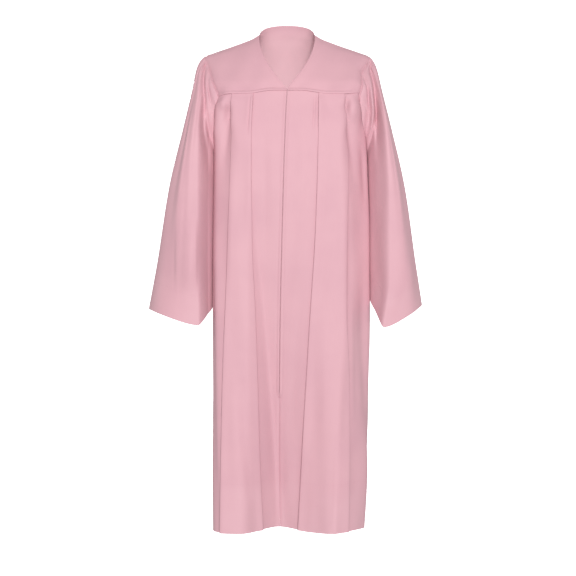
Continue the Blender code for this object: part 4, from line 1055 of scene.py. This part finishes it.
def sleeve_section(side, t):
    """Plain section of a sleeve at share t of its length: four quarters between its named points."""
    table = SLEEVES[side]
    at = {name: table.at(t, name) for name in SLEEVE_COLUMNS.split()[1:]}
    outer = (at["outer_x"], SLEEVE_MIDDLE_Y, at["outer_z"])
    fold = (at["fold_x"], at["fold_y"], at["fold_z"])
    inner = (at["inner_x"], SLEEVE_MIDDLE_Y, at["inner_z"])
    back = (at["back_x"], at["back_y"], at["back_z"])
    step = np.mod(SLEEVE_STEPS, ROUND)
    quarter = np.minimum((step // QUARTER).astype(int), 3)
    turn_by = np.pi / 2 * (step / QUARTER - quarter)
    turn_by = np.where(quarter % 2 == 1, np.pi / 2 - turn_by, turn_by)
    sideways = np.array([outer, inner, inner, outer])[quarter]
    lengthways = np.array([fold, fold, back, back])[quarter]
    c = np.maximum(np.cos(turn_by), 0.0) ** SLEEVE_ROUND
    s = np.maximum(np.sin(turn_by), 0.0) ** SLEEVE_ROUND
    x = mixed(lengthways[:, 0], sideways[:, 0], c)
    y = mixed(sideways[:, 1], lengthways[:, 1], s)
    # next to the body the front fold slopes back to the touch point, and runs on along the body from there
    share = turn_by / (np.pi / 2)
    along_slope = np.clip((1.0 - share) / SLEEVE_TOUCH, 0.0, 1.0)
    touch_y = mixed(fold[1], SLEEVE_MIDDLE_Y, SLEEVE_TOUCH_DEPTH)
    along_body = mixed(SLEEVE_MIDDLE_Y, touch_y, np.minimum(share / (1.0 - SLEEVE_TOUCH), 1.0))
    slope_y = mixed(fold[1], touch_y, bent(along_slope, SLEEVE_FOLD_SOFTNESS))
    x = np.where(quarter == 1, mixed(fold[0], inner[0], along_slope), x)
    y = np.where(quarter == 1, np.where(along_slope < 1.0, slope_y, along_body), y)
    # towards the hem the front runs straight down to a soft corner at the fold
    drop = ease(share) ** SLEEVE_HEM_BOW
    straight = 1.0 - bent(np.where(quarter == 1, along_slope, c), SLEEVE_HEM_CORNER)
    drop = mixed(drop, straight, (step < 2 * QUARTER) * ease((t - STRAIGHT_FROM) / STRAIGHT_RUN))
    return np.stack([side * x, y, mixed(sideways[:, 2], lengthways[:, 2], drop)], axis=1)


def sleeve(side):
    """A sleeve's points in rows from its head to its hem, each a closed round, and its inward vectors."""
    steps = SLEEVE_STEPS
    head, first = sleeve_head(side), sleeve_section(side, 0.0)
    grid = []
    for t in SLEEVE_SHARES:
        row = head + sleeve_section(side, t) - first + (first - head) * ease(t / SLEEVE_HEAD)
        outwards = unit((row - row.mean(axis=0) * (1, 1, 0)) * (1, 1, 0))
        rise = np.zeros(len(steps))
        for place, width, height, end in GATHERS[side]:
            away = apart_round(steps, place, ROUND)
            spread = width * (1.0 + GATHER_SPREAD * ease(t / end))
            amount = ease((t - GATHER_START) / GATHER_RUN)
            amount *= 1.0 - ease((t - GATHER_FADE) / (end - GATHER_FADE))
            rise += height * amount * (bell(away / spread) - 0.5 * bell(away / (GATHER_TROUGH * spread)))
        for top_place, hem_place, width, depth, start, deepest, end in SLEEVE_FOLDS[side]:
            away = apart_round(steps, mixed(top_place, hem_place, t), ROUND)
            amount = ease((t - start) / (deepest - start)) * (1.0 - ease((t - deepest) / (end - deepest)))
            rise -= depth * amount * bell(away / width)
        uneven = drift(steps * SLEEVE_SPACING, t * SLEEVE_LENGTH, SLEEVE_DRIFT_SEED + side, *SLEEVE_DRIFT)
        rise += uneven * ease((t - 0.05) / 0.1)
        grid.append(row + outwards * rise[:, None])
    grid = np.array(grid)
    inwards = grid.mean(axis=1, keepdims=True) - grid
    fall = np.linalg.norm(grid - grid[:1], axis=2)
    dip = ARM_SEAM_DIP * bell(fall / ARM_SEAM_RUN)
    grid = grid + normals(grid, inwards, closed=True) * dip[:, :, None]
    pressed = creased(grid, SLEEVE_CREASES[side], side)
    grid = settled(mixed(grid, pressed, ease((fall - HEAD_FALL) / PRESSED_RUN)[:, :, None]))
    return grid, normals(grid, inwards, closed=True)


def resting(grid, square, panels):
    """A sleeve whose inner side rests against the body's panels wherever it hangs close to them."""
    points = np.concatenate([sheet[3:].reshape(-1, 3) for sheet, _ in panels])
    outwards = -np.concatenate([inwards[3:].reshape(-1, 3) for _, inwards in panels])
    tree = KDTree(len(points))
    for i, point in enumerate(points):
        tree.insert(point, i)
    tree.balance()
    shift = np.zeros(grid.shape)
    fall = np.linalg.norm(grid - grid[:1], axis=2)
    close_by = (np.abs(grid[:, :, 0]) < REST_MOST_OUT) & (grid[:, :, 2] < REST_TOP_Z) & (fall > HEAD_FALL)
    for i, j in zip(*np.nonzero(close_by)):
        _, nearest, distance = tree.find(grid[i, j])
        apart = np.dot(grid[i, j] - points[nearest], outwards[nearest])
        share = ease((REST_REACH - distance) / REST_BLEND) * ease((fall[i, j] - HEAD_FALL) / REST_BLEND)
        share *= ease((REST_TOP_Z - grid[i, j, 2]) / CALM_RUN)
        shift[i, j] = outwards[nearest] * (CLOTH + REST_GAP - apart) * share
    moved = grid + np.stack([smoothed(shift[:, :, k], 2) for k in range(3)], axis=2)
    return moved, normals(moved, square, closed=True)


def tucked(grid, square, neighbours):
    """A sleeve with the edge of its head run on under its neighbours, as its seam's allowance."""
    points = np.concatenate([sheet.reshape(-1, 3) for sheet, _ in neighbours])
    inwards = np.concatenate([found.reshape(-1, 3) for _, found in neighbours])
    under = np.empty_like(grid[0])
    for i, place in enumerate(grid[0]):
        weight = bell((np.linalg.norm(points - place, axis=1) - SEAM_ALLOWANCE) / SEAM_SPREAD)
        under[i] = (weight[:, None] * (points + SEAM_UNDER * inwards)).sum(axis=0) / weight.sum()
    for _ in range(3):
        under = (np.roll(under, 1, axis=0) + 2.0 * under + np.roll(under, -1, axis=0)) / 4.0
    half_way = 0.5 * (under + grid[0]) + SLEEVE_CLEAR * square[0]
    square = np.concatenate([square[:1], square[:1], square])
    return np.concatenate([under[None], half_way[None], grid]), square


def turned_under(grid, inwards, depth, every):
    """The sheet with its last edge turned under: rows round the fold, and back up the wrong side.

    The second value is how many rows were added."""
    radius = HEM_STEP / 2
    edge, behind = grid[-1], inwards[-1]
    onwards = unit(grid[-1] - grid[-3])
    added = []
    for angle in UNDER_ANGLES:
        added.append(edge + behind * radius * (1.0 - math.cos(angle)) + onwards * radius * math.sin(angle))
    fall = np.linalg.norm(grid - grid[-1:], axis=2).mean(axis=1)
    last_fall = 0.0
    for i in range(len(grid) - 2, -1, -1):
        if fall[i] > depth:
            break
        if fall[i] - last_fall >= every:
            added.append(grid[i] + inwards[i] * HEM_STEP)
            last_fall = fall[i]
    return np.concatenate([grid, np.array(added)]), len(added)


def inset(grid, square, distance):
    """A sewing line on a sheet's right side at one distance from its last row, and its outward vectors."""
    line, outwards = [], []
    for column, inwards in zip(grid[::-1].swapaxes(0, 1), square[::-1].swapaxes(0, 1)):
        lengths = lengths_along(column)
        line.append(read(column, lengths, distance))
        outwards.append(-read(inwards, lengths, distance))
    outwards = unit(np.array(outwards))
    return np.array(line) + outwards * STITCH_PROUD, outwards


def only(made):
    bpy.ops.object.select_all(action="DESELECT")
    made.select_set(True)
    bpy.context.view_layer.objects.active = made
    return made


def edited(made, *steps):
    """The object after some mesh operators on the whole of it, each given with its settings."""
    only(made)
    bpy.ops.object.mode_set(mode="EDIT")
    for operator, settings in steps:
        bpy.ops.mesh.select_all(action="SELECT")
        operator(**settings)
    bpy.ops.object.mode_set(mode="OBJECT")
    return made


def placed(made):
    """The object with its place, turn and size put into its mesh."""
    only(made)
    bpy.ops.object.transform_apply(location=True, rotation=True, scale=True)
    return made


def added(name, data):
    """A new object in the scene that holds this mesh, lamp or lens."""
    made = bpy.data.objects.new(name, data)
    bpy.context.scene.collection.objects.link(made)
    return made


def finished(made, finish):
    made.data.materials.clear()
    made.data.materials.append(finish)
    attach(made, "root")
    return made


def grid_sheet(name, grid, outwards, values, closed=False):
    """A grid primitive given these points, a UV map in metres along the cloth, and point values by name."""
    rows, columns = grid.shape[:2]
    if closed:
        grid, outwards = [np.concatenate([part, part[:, :1]], axis=1) for part in (grid, outwards)]
        values = {key: np.concatenate([value, value[:, :1]], axis=1) for key, value in values.items()}
        columns += 1
    middle = rows // 3
    down, across = grid[middle + 1] - grid[middle], np.gradient(grid[middle], axis=0)
    if np.sum(np.cross(across, down) * outwards[middle]) < 0:
        grid = grid[:, ::-1]
        values = {key: value[:, ::-1] for key, value in values.items()}
    bpy.ops.mesh.primitive_grid_add(x_subdivisions=columns - 1, y_subdivisions=rows - 1, size=1.0)
    made = bpy.context.object
    made.name = made.data.name = name
    mesh = made.data
    mesh.vertices.foreach_set("co", grid.reshape(-1).astype(np.float32))
    across = np.cumsum(np.linalg.norm(np.diff(grid, axis=1, prepend=grid[:, :1]), axis=2), axis=1)
    down = np.cumsum(np.linalg.norm(np.diff(grid, axis=0, prepend=grid[:1]), axis=2), axis=0)
    flat = np.stack([across, -down], axis=2).reshape(-1, 2)
    corners = np.empty(len(mesh.loops), np.int32)
    mesh.loops.foreach_get("vertex_index", corners)
    mesh.uv_layers[0].name = "cloth"
    mesh.uv_layers[0].data.foreach_set("uv", flat[corners].reshape(-1).astype(np.float32))
    for key, value in values.items():
        attribute = mesh.attributes.new(key, "FLOAT", "POINT")
        attribute.data.foreach_set("value", np.ascontiguousarray(value, np.float32).reshape(-1))
    mesh.update()
    return edited(made, (bpy.ops.mesh.remove_doubles, {"threshold": 1e-6})) if closed else made


def with_wall(made, paler=1.0):
    """The sheet as cloth with two sides; paler says how much painted light pales its wrong side, the robe's
    inside, where the lamps reach less.
    """
    count = len(made.data.vertices)
    wall = made.modifiers.new("wall", "SOLIDIFY")
    wall.thickness = CLOTH
    wall.offset = 0.0
    wall.use_even_offset = False
    only(made)
    bpy.ops.object.modifier_apply(modifier=wall.name)
    wrong = np.zeros(len(made.data.vertices), np.float32)
    # painted light: the wrong side, the robe's inside, is marked to be painted paler
    wrong[count : 2 * count] = paler
    made.data.attributes.new("wrong", "FLOAT", "POINT").data.foreach_set("value", wrong)
    made.data.shade_smooth()
    return made


def doubled(grid, turned, depth, seed):
    """Point values for the paler band of a hem: 1 in front of its second layer, soft at the top."""
    rows = len(grid) - turned
    above = np.linalg.norm(grid[:rows] - grid[rows - 1], axis=2)
    wander = drift(np.arange(grid.shape[1])[None] * COLUMN_SPACING, 0.0, seed, *HEM_DRIFT)
    band = 1.0 - ease((above - depth + HEM_BAND_UNDER + wander) / HEM_BAND_RUN)
    return np.concatenate([band, np.ones((turned, grid.shape[1]))])


def cloth_piece(name, grid, square, hem, cloth, painted_fold_shade=0.0, seed=None, closed=False, paler=1.0):
    """A sheet with its last edge turned under, in the place of one of the part's pieces.

    The fold values are painted shade for points that lie under a fold, paler says how much painted light
    pales the inside, and seed draws the upper edge of a hem's paler band."""
    whole, turned = turned_under(grid, square, *hem)
    outwards = np.concatenate([-square, square[-1:].repeat(turned, axis=0)])
    values = {"painted_fold_shade": np.zeros(whole.shape[:2]), "double": np.zeros(whole.shape[:2])}
    # painted shade under the pleats' folds, on the sheet and not on its turned-under hem
    values["painted_fold_shade"][: len(grid)] = painted_fold_shade
    if seed is not None:
        values["double"] = doubled(whole, turned, hem[0], seed)
    made = with_wall(grid_sheet(f"{name}_cloth", whole, outwards, values, closed), paler)
    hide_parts(name)
    return finished(made, cloth)


def neck_facing(name, grid, square, cloth):
    """A narrow facing turned to the inside along a neck edge: grid's last row is that edge."""
    whole, turned = turned_under(grid, square, *FACING)
    facing = whole[-turned - 1 :]
    flat = np.zeros(facing.shape[:2])
    values = {"painted_fold_shade": flat, "double": flat + FACING_PALER}
    made = with_wall(grid_sheet(name, facing, square[-1:].repeat(len(facing), axis=0), values))
    return finished(made, cloth)


def small_shape(made, *steps):
    """Points and triangles of a small object after some mesh operators; the object itself goes away.

    A bevel can write its faces in another order in each run, so the triangles are sorted."""
    edited(placed(made), *steps, (bpy.ops.mesh.quads_convert_to_tris, {}))
    points = np.array([vertex.co for vertex in made.data.vertices])
    faces = np.array([tuple(face.vertices) for face in made.data.polygons])
    bpy.data.objects.remove(made)
    return points, faces[np.lexsort(faces.T)]


def copies(name, points, faces, finish):
    """One mesh of many copies of a small shape, given the points of each."""
    shown = [faces + i * len(copy) for i, copy in enumerate(points)]
    mesh = bpy.data.meshes.new(name)
    mesh.from_pydata(np.concatenate(points).tolist(), [], np.concatenate(shown).tolist())
    return finished(added(name, mesh), finish)


def stitches(name, lines, finish):
    """All the stitches of some sewing lines, each a five-sided bar with tapered ends, as one mesh."""
    bpy.ops.mesh.primitive_cylinder_add(
        vertices=5, radius=0.5, depth=1.0, end_fill_type="TRIFAN", rotation=(0.0, math.pi / 2, 0.0)
    )
    steps = [(bpy.ops.mesh.remove_doubles, {"threshold": 1e-5})]
    for x in (TAPER_FROM, -TAPER_FROM):
        steps.append((bpy.ops.mesh.bisect, {"plane_co": (x, 0, 0), "plane_no": (1, 0, 0)}))
    shape, faces = small_shape(bpy.context.object, *steps)
    shape[:, 1:] *= np.where(np.abs(shape[:, :1]) > 0.4, TAPER, 1.0)
    shape = shape * (STITCH_LENGTH, STITCH_THICK, STITCH_THICK)
    points = []
    for line, outwards in lines:
        lengths = lengths_along(line)
        count = int(lengths[-1] / STITCH_PITCH)
        middles = (np.arange(count) + 0.5) * lengths[-1] / count
        ends = [read(line, lengths, middles + way * STITCH_LENGTH / 2) for way in (-1, 1)]
        ahead = unit(ends[1] - ends[0])
        up = read(outwards, lengths, middles)
        up = unit(up - ahead * np.sum(up * ahead, axis=1)[:, None])
        turned = np.stack([ahead, np.cross(up, ahead), up], axis=1)
        points += list((ends[0] + ends[1])[:, None] / 2 + shape @ turned)
    made = copies(name, points, faces, finish)
    made.data.shade_smooth()
    return made


def zip_teeth(edge, finish):
    """The closed zip's coil down the line between the front edges, its loops from the two tapes by turns."""
    bpy.ops.mesh.primitive_cube_add(size=1.0)
    bpy.context.object.scale = TOOTH_SIZE
    bevel = {"offset": TOOTH_BEVEL, "segments": 1, "affect": "EDGES"}
    shape, faces = small_shape(bpy.context.object, (bpy.ops.mesh.bevel, bevel))
    lengths = lengths_along(edge)
    places = np.arange(TEETH_FROM_TOP, lengths[-1] - TEETH_FROM_END, TEETH_PITCH / 2)
    aside = np.where(np.arange(len(places)) % 2, TOOTH_ASIDE, -TOOTH_ASIDE)
    middles = read(edge, lengths, places) + aside[:, None] * (1.0, 0.0, 0.0)
    return copies("zip_teeth", list(shape + middles[:, None]), faces, finish)


class Wire:
    """A shader socket that is added, multiplied and compared like a number."""

    def __init__(self, finish, socket):
        self.finish, self.socket = finish, socket

    def maths(self, operation, *values):
        return self.finish.node("ShaderNodeMath", {"operation": operation}, *values)

    def __add__(self, other):
        return self.maths("ADD", self, other)

    def __sub__(self, other):
        return self.maths("SUBTRACT", self, other)

    def __mul__(self, other):
        return self.maths("MULTIPLY", self, other)

    __radd__ = __add__
    __rmul__ = __mul__

    def sine(self):
        return self.maths("SINE", self)

    def between(self, low, high):
        """0 up to low, 1 from high, and a smooth step between."""
        settings = {"interpolation_type": "SMOOTHSTEP"}
        return self.finish.node("ShaderNodeMapRange", settings, self, low, high, 0.0, 1.0)

    def parts(self, axes):
        """The named parts of a place, such as X and Z."""
        return [self.finish.node("ShaderNodeSeparateXYZ", {}, self, out=axis) for axis in axes]


class Finish:
    """A material with a Principled shader, whose other nodes all come from one method."""

    def __init__(self, name, **constants):
        self.material = bpy.data.materials.new(name)
        self.material.use_nodes = True
        self.tree = self.material.node_tree
        self.shader = self.tree.nodes["Principled BSDF"]
        self.feed(**constants)

    def fill(self, pairs):
        for socket, value in pairs:
            if isinstance(value, Wire):
                self.tree.links.new(value.socket, socket)
            elif value is not None:
                socket.default_value = value

    def feed(self, **sockets):
        self.fill((self.shader.inputs[name.replace("_", " ")], value) for name, value in sockets.items())
        return self.material

    def node(self, kind, settings, *values, out=0, **named):
        made = self.tree.nodes.new(kind)
        for key, value in settings.items():
            setattr(made, key, value)
        self.fill(zip(made.inputs, values))
        self.fill((made.inputs[key.replace("_", " ")], value) for key, value in named.items())
        return Wire(self, made.outputs[out])

    def blend(self, amount, first, second):
        """A colour between two, which are the seventh and eighth inputs of the node."""
        return self.node("ShaderNodeMix", {"data_type": "RGBA"}, amount, *[None] * 5, first, second, out=2)

    def place(self):
        return self.node("ShaderNodeTexCoord", {}, out="Object")

    def attribute(self, name):
        return self.node("ShaderNodeAttribute", {"attribute_name": name}, out="Fac")

    def noise(self, place, scale, detail=2.0, roughness=0.5):
        named = {"Vector": place, "Scale": scale, "Detail": detail, "Roughness": roughness}
        return self.node("ShaderNodeTexNoise", {}, **named)

    def stretched(self, place, scale):
        return self.node("ShaderNodeVectorMath", {"operation": "MULTIPLY"}, place, scale)

    def bump(self, height, strength, distance):
        return self.node("ShaderNodeBump", {}, Strength=strength, Distance=distance, Height=height)

    def weave(self, across, along, pitches):
        """Waves of two sets of threads that cross, at these pitches."""
        return (across * (2.0 * math.pi / pitches[0])).sine() * (along * (2.0 * math.pi / pitches[1])).sine()


def shade(red, green, blue):
    """A colour given in the usual 0 to 255 steps, for a shader."""
    return tuple((value / 255.0) ** 2.2 for value in (red, green, blue)) + (1.0,)


def robe_cloth():
    """Smooth rose polyester: a fine close weave, a faint satin sheen, paler where a hem doubles it; painted
    shade in the pleats' laps, painted light on its inside.
    """
    finish = Finish("rose_polyester", Sheen_Weight=0.10, Sheen_Roughness=0.5, Specular_IOR_Level=0.22)
    finish.feed(Sheen_Tint=SHEEN_TINT)
    cloth = finish.node("ShaderNodeUVMap", {"uv_map": "cloth"})
    place = finish.place()
    clouds = finish.noise(place, *CLOUDS)
    streaks = finish.noise(finish.stretched(cloth, STREAK_SCALE), 1.0, 2.0, 0.6)
    double, painted_fold_shade = finish.attribute("double"), finish.attribute("painted_fold_shade")
    plain = finish.blend(clouds.between(0.35, 0.70), ROSE, ROSE_COOL)
    plain = finish.blend(streaks.between(0.45, 0.80) * 0.10, plain, ROSE_PALE)
    plain = finish.blend(double * clouds.between(0.38, 0.62) * 0.45, plain, ROSE_PALE)
    # painted shade: a darker rose in the pleats' laps and along their folded edges, where shade falls
    plain = finish.blend(painted_fold_shade * 0.85, plain, ROSE_PAINTED_FOLD_SHADE)
    # painted light: the robe's inside is painted paler where the lamps reach it less, and not near the top of
    # the neck
    (height,) = place.parts("Z")
    colour = finish.blend(finish.attribute("wrong") * height.between(*PAINTED_INSIDE_LIGHT_Z), plain, ROSE_PAINTED_INSIDE_LIGHT)
    threads = finish.weave(*cloth.parts("XY"), CLOTH_PITCHES)
    slubs = finish.noise(finish.stretched(cloth, SLUB_SCALE), 1.0, 2.0, 0.5)
    fine = finish.bump(threads * 0.5 + slubs * 1.2, *CLOTH_RELIEF)
    return finish.feed(Base_Color=colour, Roughness=0.56 + clouds * 0.10 - double * 0.03, Normal=fine)


def tape_weave():
    """The zip's tape: a coarser woven band, a little darker than the robe."""
    finish = Finish("zip_tape", Specular_IOR_Level=0.3, Sheen_Weight=0.15)
    place = finish.place()
    ribs = finish.weave(*place.parts("ZX"), TAPE_PITCHES)
    grain = finish.noise(place, 260.0, 3.0)
    colour = finish.blend(grain.between(0.3, 0.7), *TAPE_SHADES)
    relief = finish.bump(ribs + grain, *TAPE_RELIEF)
    return finish.feed(Base_Color=colour, Roughness=0.74 + grain * 0.12, Normal=relief)


def speckled(name, noise, shades, step=None, rough=None, relief=None, **constants):
    """A finish that wavers between two shades, and its roughness and relief with it."""
    finish = Finish(name, **constants)
    tone = finish.noise(finish.place(), *noise)
    finish.feed(Base_Color=finish.blend(tone.between(*step) if step else tone, *shades))
    if rough:
        finish.feed(Roughness=rough[0] + tone * rough[1])
    if relief:
        finish.feed(Normal=finish.bump(tone, *relief))
    return finish.material


def sewing_thread():
    settings = {"Roughness": 0.5, "Sheen_Weight": 0.2, "Specular_IOR_Level": 0.4}
    return speckled("rose_thread", (900.0, 2.0), THREAD_SHADES, (0.3, 0.7), relief=(0.4, 0.0001), **settings)


def coil_nylon():
    # the coil's rose is partly its own dye and partly painted shade of the slit between the front edges
    return speckled("zip_coil", (120.0, 2.0), COIL_DYE_AND_SLIT_SHADE, rough=(0.30, 0.12), Specular_IOR_Level=0.5)


def painted_metal():
    """The slider: zinc sprayed to match, with the paint thin and duller in patches."""
    noise, step, rough, relief = (420.0, 4.0, 0.6), (0.62, 0.72), (0.28, 0.2), (0.1, 0.0002)
    settings = {"Metallic": 0.35, "Coat_Weight": 0.25, "Coat_Roughness": 0.2}
    return speckled("slider_paint", noise, PAINT_SHADES, step, rough, relief, **settings)


# Colours and weaves
ROSE = shade(207, 160, 169)
ROSE_PALE = shade(213, 169, 177)
# painted shade for the pleats' laps and folded edges
ROSE_PAINTED_FOLD_SHADE = shade(158, 106, 117)
ROSE_COOL = shade(203, 156, 166)
# painted light for the robe's inside
ROSE_PAINTED_INSIDE_LIGHT = shade(234, 188, 196)
SHEEN_TINT = shade(255, 226, 230)
THREAD_SHADES = shade(192, 144, 154), shade(206, 158, 168)
TAPE_SHADES = shade(190, 138, 149), shade(205, 155, 165)
# the coil's colours, darker than the cloth: partly the coil's own dye, partly painted shade of the narrow
# slit it lies in
COIL_DYE_AND_SLIT_SHADE = shade(172, 122, 133), shade(192, 142, 152)
PAINT_SHADES = shade(206, 152, 163), shade(176, 160, 160)
CLOTH_PITCHES, TAPE_PITCHES = (0.00062, 0.00074), (0.0011, 0.0016)
# strength and height of the relief; scale, detail and roughness of the clouds; scales along the cloth
CLOTH_RELIEF, TAPE_RELIEF = (0.22, 0.00012), (0.4, 0.0002)
CLOUDS = (7.0, 3.0, 0.55)
STREAK_SCALE, SLUB_SCALE = (220.0, 9.0, 1.0), (140.0, 900.0, 1.0)
# painted light: the wrong side takes the full paler inside colour below the second height, and none of it
# above the first, where the lamps reach it more
PAINTED_INSIDE_LIGHT_Z = (0.036, -0.012)


def beside_zip(grid, square):
    """The stitch line beside the zip, which runs in to the centre in a V at the zip's end."""
    above_end = grid[:, 0, 2] - grid[-1, 0, 2]
    column = ZIP_STITCH_COLUMN * np.clip(above_end / ZIP_END_RUN, ZIP_END_LEAST, 1.0)
    low = np.minimum(column.astype(int), grid.shape[1] - 2)
    share, row = (column - low)[:, None], np.arange(len(grid))
    outwards = -mixed(square[row, low], square[row, low + 1], share)
    return mixed(grid[row, low], grid[row, low + 1], share) + outwards * STITCH_PROUD, outwards


def turned_sheet(sheet, mirror=False):
    """A sheet and its vectors with rows for columns, so that a side edge, or its mirror, comes last."""
    return [(values[:, ::-1] if mirror else values).swapaxes(0, 1) for values in sheet]


def build_robe():
    cloth = robe_cloth()
    sewn = {"body": [], "yoke": [], "sleeve": []}
    made, edges = [], []

    halves = [half_panel(side, False, *BACK_PLEATS, BACK_COLUMNS, BACK_ROWS) for side in (RIGHT, LEFT)]
    grid, painted_fold_shade = [np.concatenate([right[:, ::-1], left[:, 1:]], axis=1) for right, left in zip(*halves)]
    back = grid, normals(grid, INTO_ROBE[False])
    sewn["body"].append(inset(*back, BODY_HEM_STITCH))
    made.append(cloth_piece("back", *back, BODY_HEM, cloth, painted_fold_shade, BACK_SEED))

    back_yoke_sheet = back_yoke()
    made.append(cloth_piece("back_yoke", *back_yoke_sheet, YOKE_HEM, cloth))
    sewn["yoke"].append(inset(*back_yoke_sheet, YOKE_STITCH))
    for mirror in (False, True):
        sewn["yoke"].append(inset(*turned_sheet(back_yoke_sheet, mirror), ARM_STITCH))

    for side, side_name in SIDE_NAMES.items():
        grid, painted_fold_shade = half_panel(side, True, *FRONT_PLEATS[side], FRONT_COLUMNS, FRONT_ROWS)
        square = normals(grid, INTO_ROBE[True])
        sewn["body"].append(inset(grid, square, BODY_HEM_STITCH))
        made.append(cloth_piece(f"front_{side_name}", grid, square, BODY_HEM, cloth, painted_fold_shade, FRONT_SEED + side))
        zipped = grid[:, 0, 2] > ZIP_END_Z - ZIP_END_BLEND / 2
        sewn["body"].append(beside_zip(grid[zipped], square[zipped]))
        edges.append(grid[zipped, 0])

        yoke = front_yoke(side)
        made.append(cloth_piece(f"front_yoke_{side_name}", *yoke, YOKE_HEM, cloth))
        neck, armhole = turned_sheet(yoke, True), turned_sheet(yoke)
        made.append(neck_facing(f"neck_facing_{side_name}", *neck, cloth))
        sewn["yoke"] += [inset(*yoke, YOKE_STITCH), inset(*neck, NECK_STITCH), inset(*armhole, ARM_STITCH)]

        front = grid, square
        tube = tucked(*resting(*sleeve(side), (back, front)), (back, back_yoke_sheet, front, yoke))
        sewn["sleeve"].append(inset(*tube, SLEEVE_HEM_STITCH))
        settings = {"seed": SLEEVE_SEED + side, "closed": True, "paler": 0.0}
        made.append(cloth_piece(f"sleeve_{side_name}", *tube, SLEEVE_HEM, cloth, **settings))

    thread = sewing_thread()
    made += [stitches(f"stitching_{name}", lines, thread) for name, lines in sewn.items()]
    count = min(len(edge) for edge in edges)
    middle = (edges[0][:count] + edges[1][:count]) / 2
    made.append(zip_teeth(middle + (0.0, CLOTH / 2 + TOOTH_INWARDS, 0.0), coil_nylon()))
    tape = tape_weave()
    for name, finish in (("zip_tape_right", tape), ("zip_tape_left", tape), ("zip_slider", painted_metal())):
        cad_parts[name].data.materials.clear()
        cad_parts[name].data.materials.append(finish)
    return {piece.name: piece for piece in made}


# Studio
FLOOR_Z = -1.42
STUDIO_RADIUS, STUDIO_HEIGHT = 6.8, 6.0
STUDIO_SIDES = 96
SURROUND = 0.37
WHITE = (1.0, 1.0, 1.0, 1.0)
LAMP_AIM = (0.0, 0.0, -0.6)
LAMPS = (
    # name, place, size, power
    ("front", (0.50, -9.0, 1.40), 2.4, 808.0),
    ("back", (-0.5, 4.4, 0.9), 1.6, 150.0),
    ("side_right", (-4.5, 1.6, 0.4), 1.6, 40.0),
    ("side_left", (4.5, 1.6, 0.4), 1.6, 40.0),
)


def backdrop(name, finish_name, low, high, glow):
    """The shape just added as a pale painted surface, which shines a little and lights nothing else."""
    made = placed(bpy.context.object)
    made.name = made.data.name = name
    greys = [(grey, grey, grey, 1.0) for grey in (low, high)]
    shine = {"Emission_Color": WHITE, "Emission_Strength": glow}
    painted = speckled(finish_name, (2.0,), greys, Roughness=0.9, Specular_IOR_Level=0.0, **shine)
    made.data.materials.append(painted)
    made.visible_diffuse = made.visible_glossy = made.visible_shadow = False
    return made


def studio():
    """A pale floor and a white wall all round, and soft lamps in front and behind."""
    bpy.ops.mesh.primitive_circle_add(
        vertices=STUDIO_SIDES, radius=STUDIO_RADIUS, fill_type="NGON", location=(0.0, 0.0, FLOOR_Z)
    )
    floor = backdrop("floor", "pale_floor", 0.80, 0.84, 0.80)
    bpy.ops.mesh.primitive_cylinder_add(
        vertices=STUDIO_SIDES,
        radius=STUDIO_RADIUS,
        depth=STUDIO_HEIGHT,
        end_fill_type="NOTHING",
        location=(0.0, 0.0, FLOOR_Z + STUDIO_HEIGHT / 2),
    )
    wall = backdrop("wall", "white_wall", 0.92, 0.95, 1.0)
    wall.data.shade_smooth()
    world = bpy.data.worlds.new("pale_surround")
    bpy.context.scene.world = world
    world.use_nodes = True
    background = world.node_tree.nodes["Background"]
    background.inputs["Color"].default_value = WHITE
    background.inputs["Strength"].default_value = SURROUND
    for name, place, size, power in LAMPS:
        lamp = bpy.data.lights.new(name, "AREA")
        lamp.shape, lamp.size, lamp.energy = "SQUARE", size, power
        held = added(name, lamp)
        held.location = place
        held.rotation_euler = (Vector(LAMP_AIM) - Vector(place)).to_track_quat("-Z", "Y").to_euler()
        held.visible_camera = False


def camera():
    lens = bpy.data.cameras.new("camera")
    lens.sensor_width = SENSOR_WIDTH
    lens.lens = SENSOR_WIDTH * CAMERA_DISTANCE / FRAME_WIDTH
    held = added("camera", lens)
    held.location = (CAMERA_AIM[0], -CAMERA_DISTANCE, CAMERA_AIM[2])
    held.rotation_euler = (math.pi / 2, 0.0, 0.0)
    bpy.context.scene.camera = held


pieces = build_robe()
studio()
camera()
bpy.context.scene.view_settings.view_transform = "Standard"
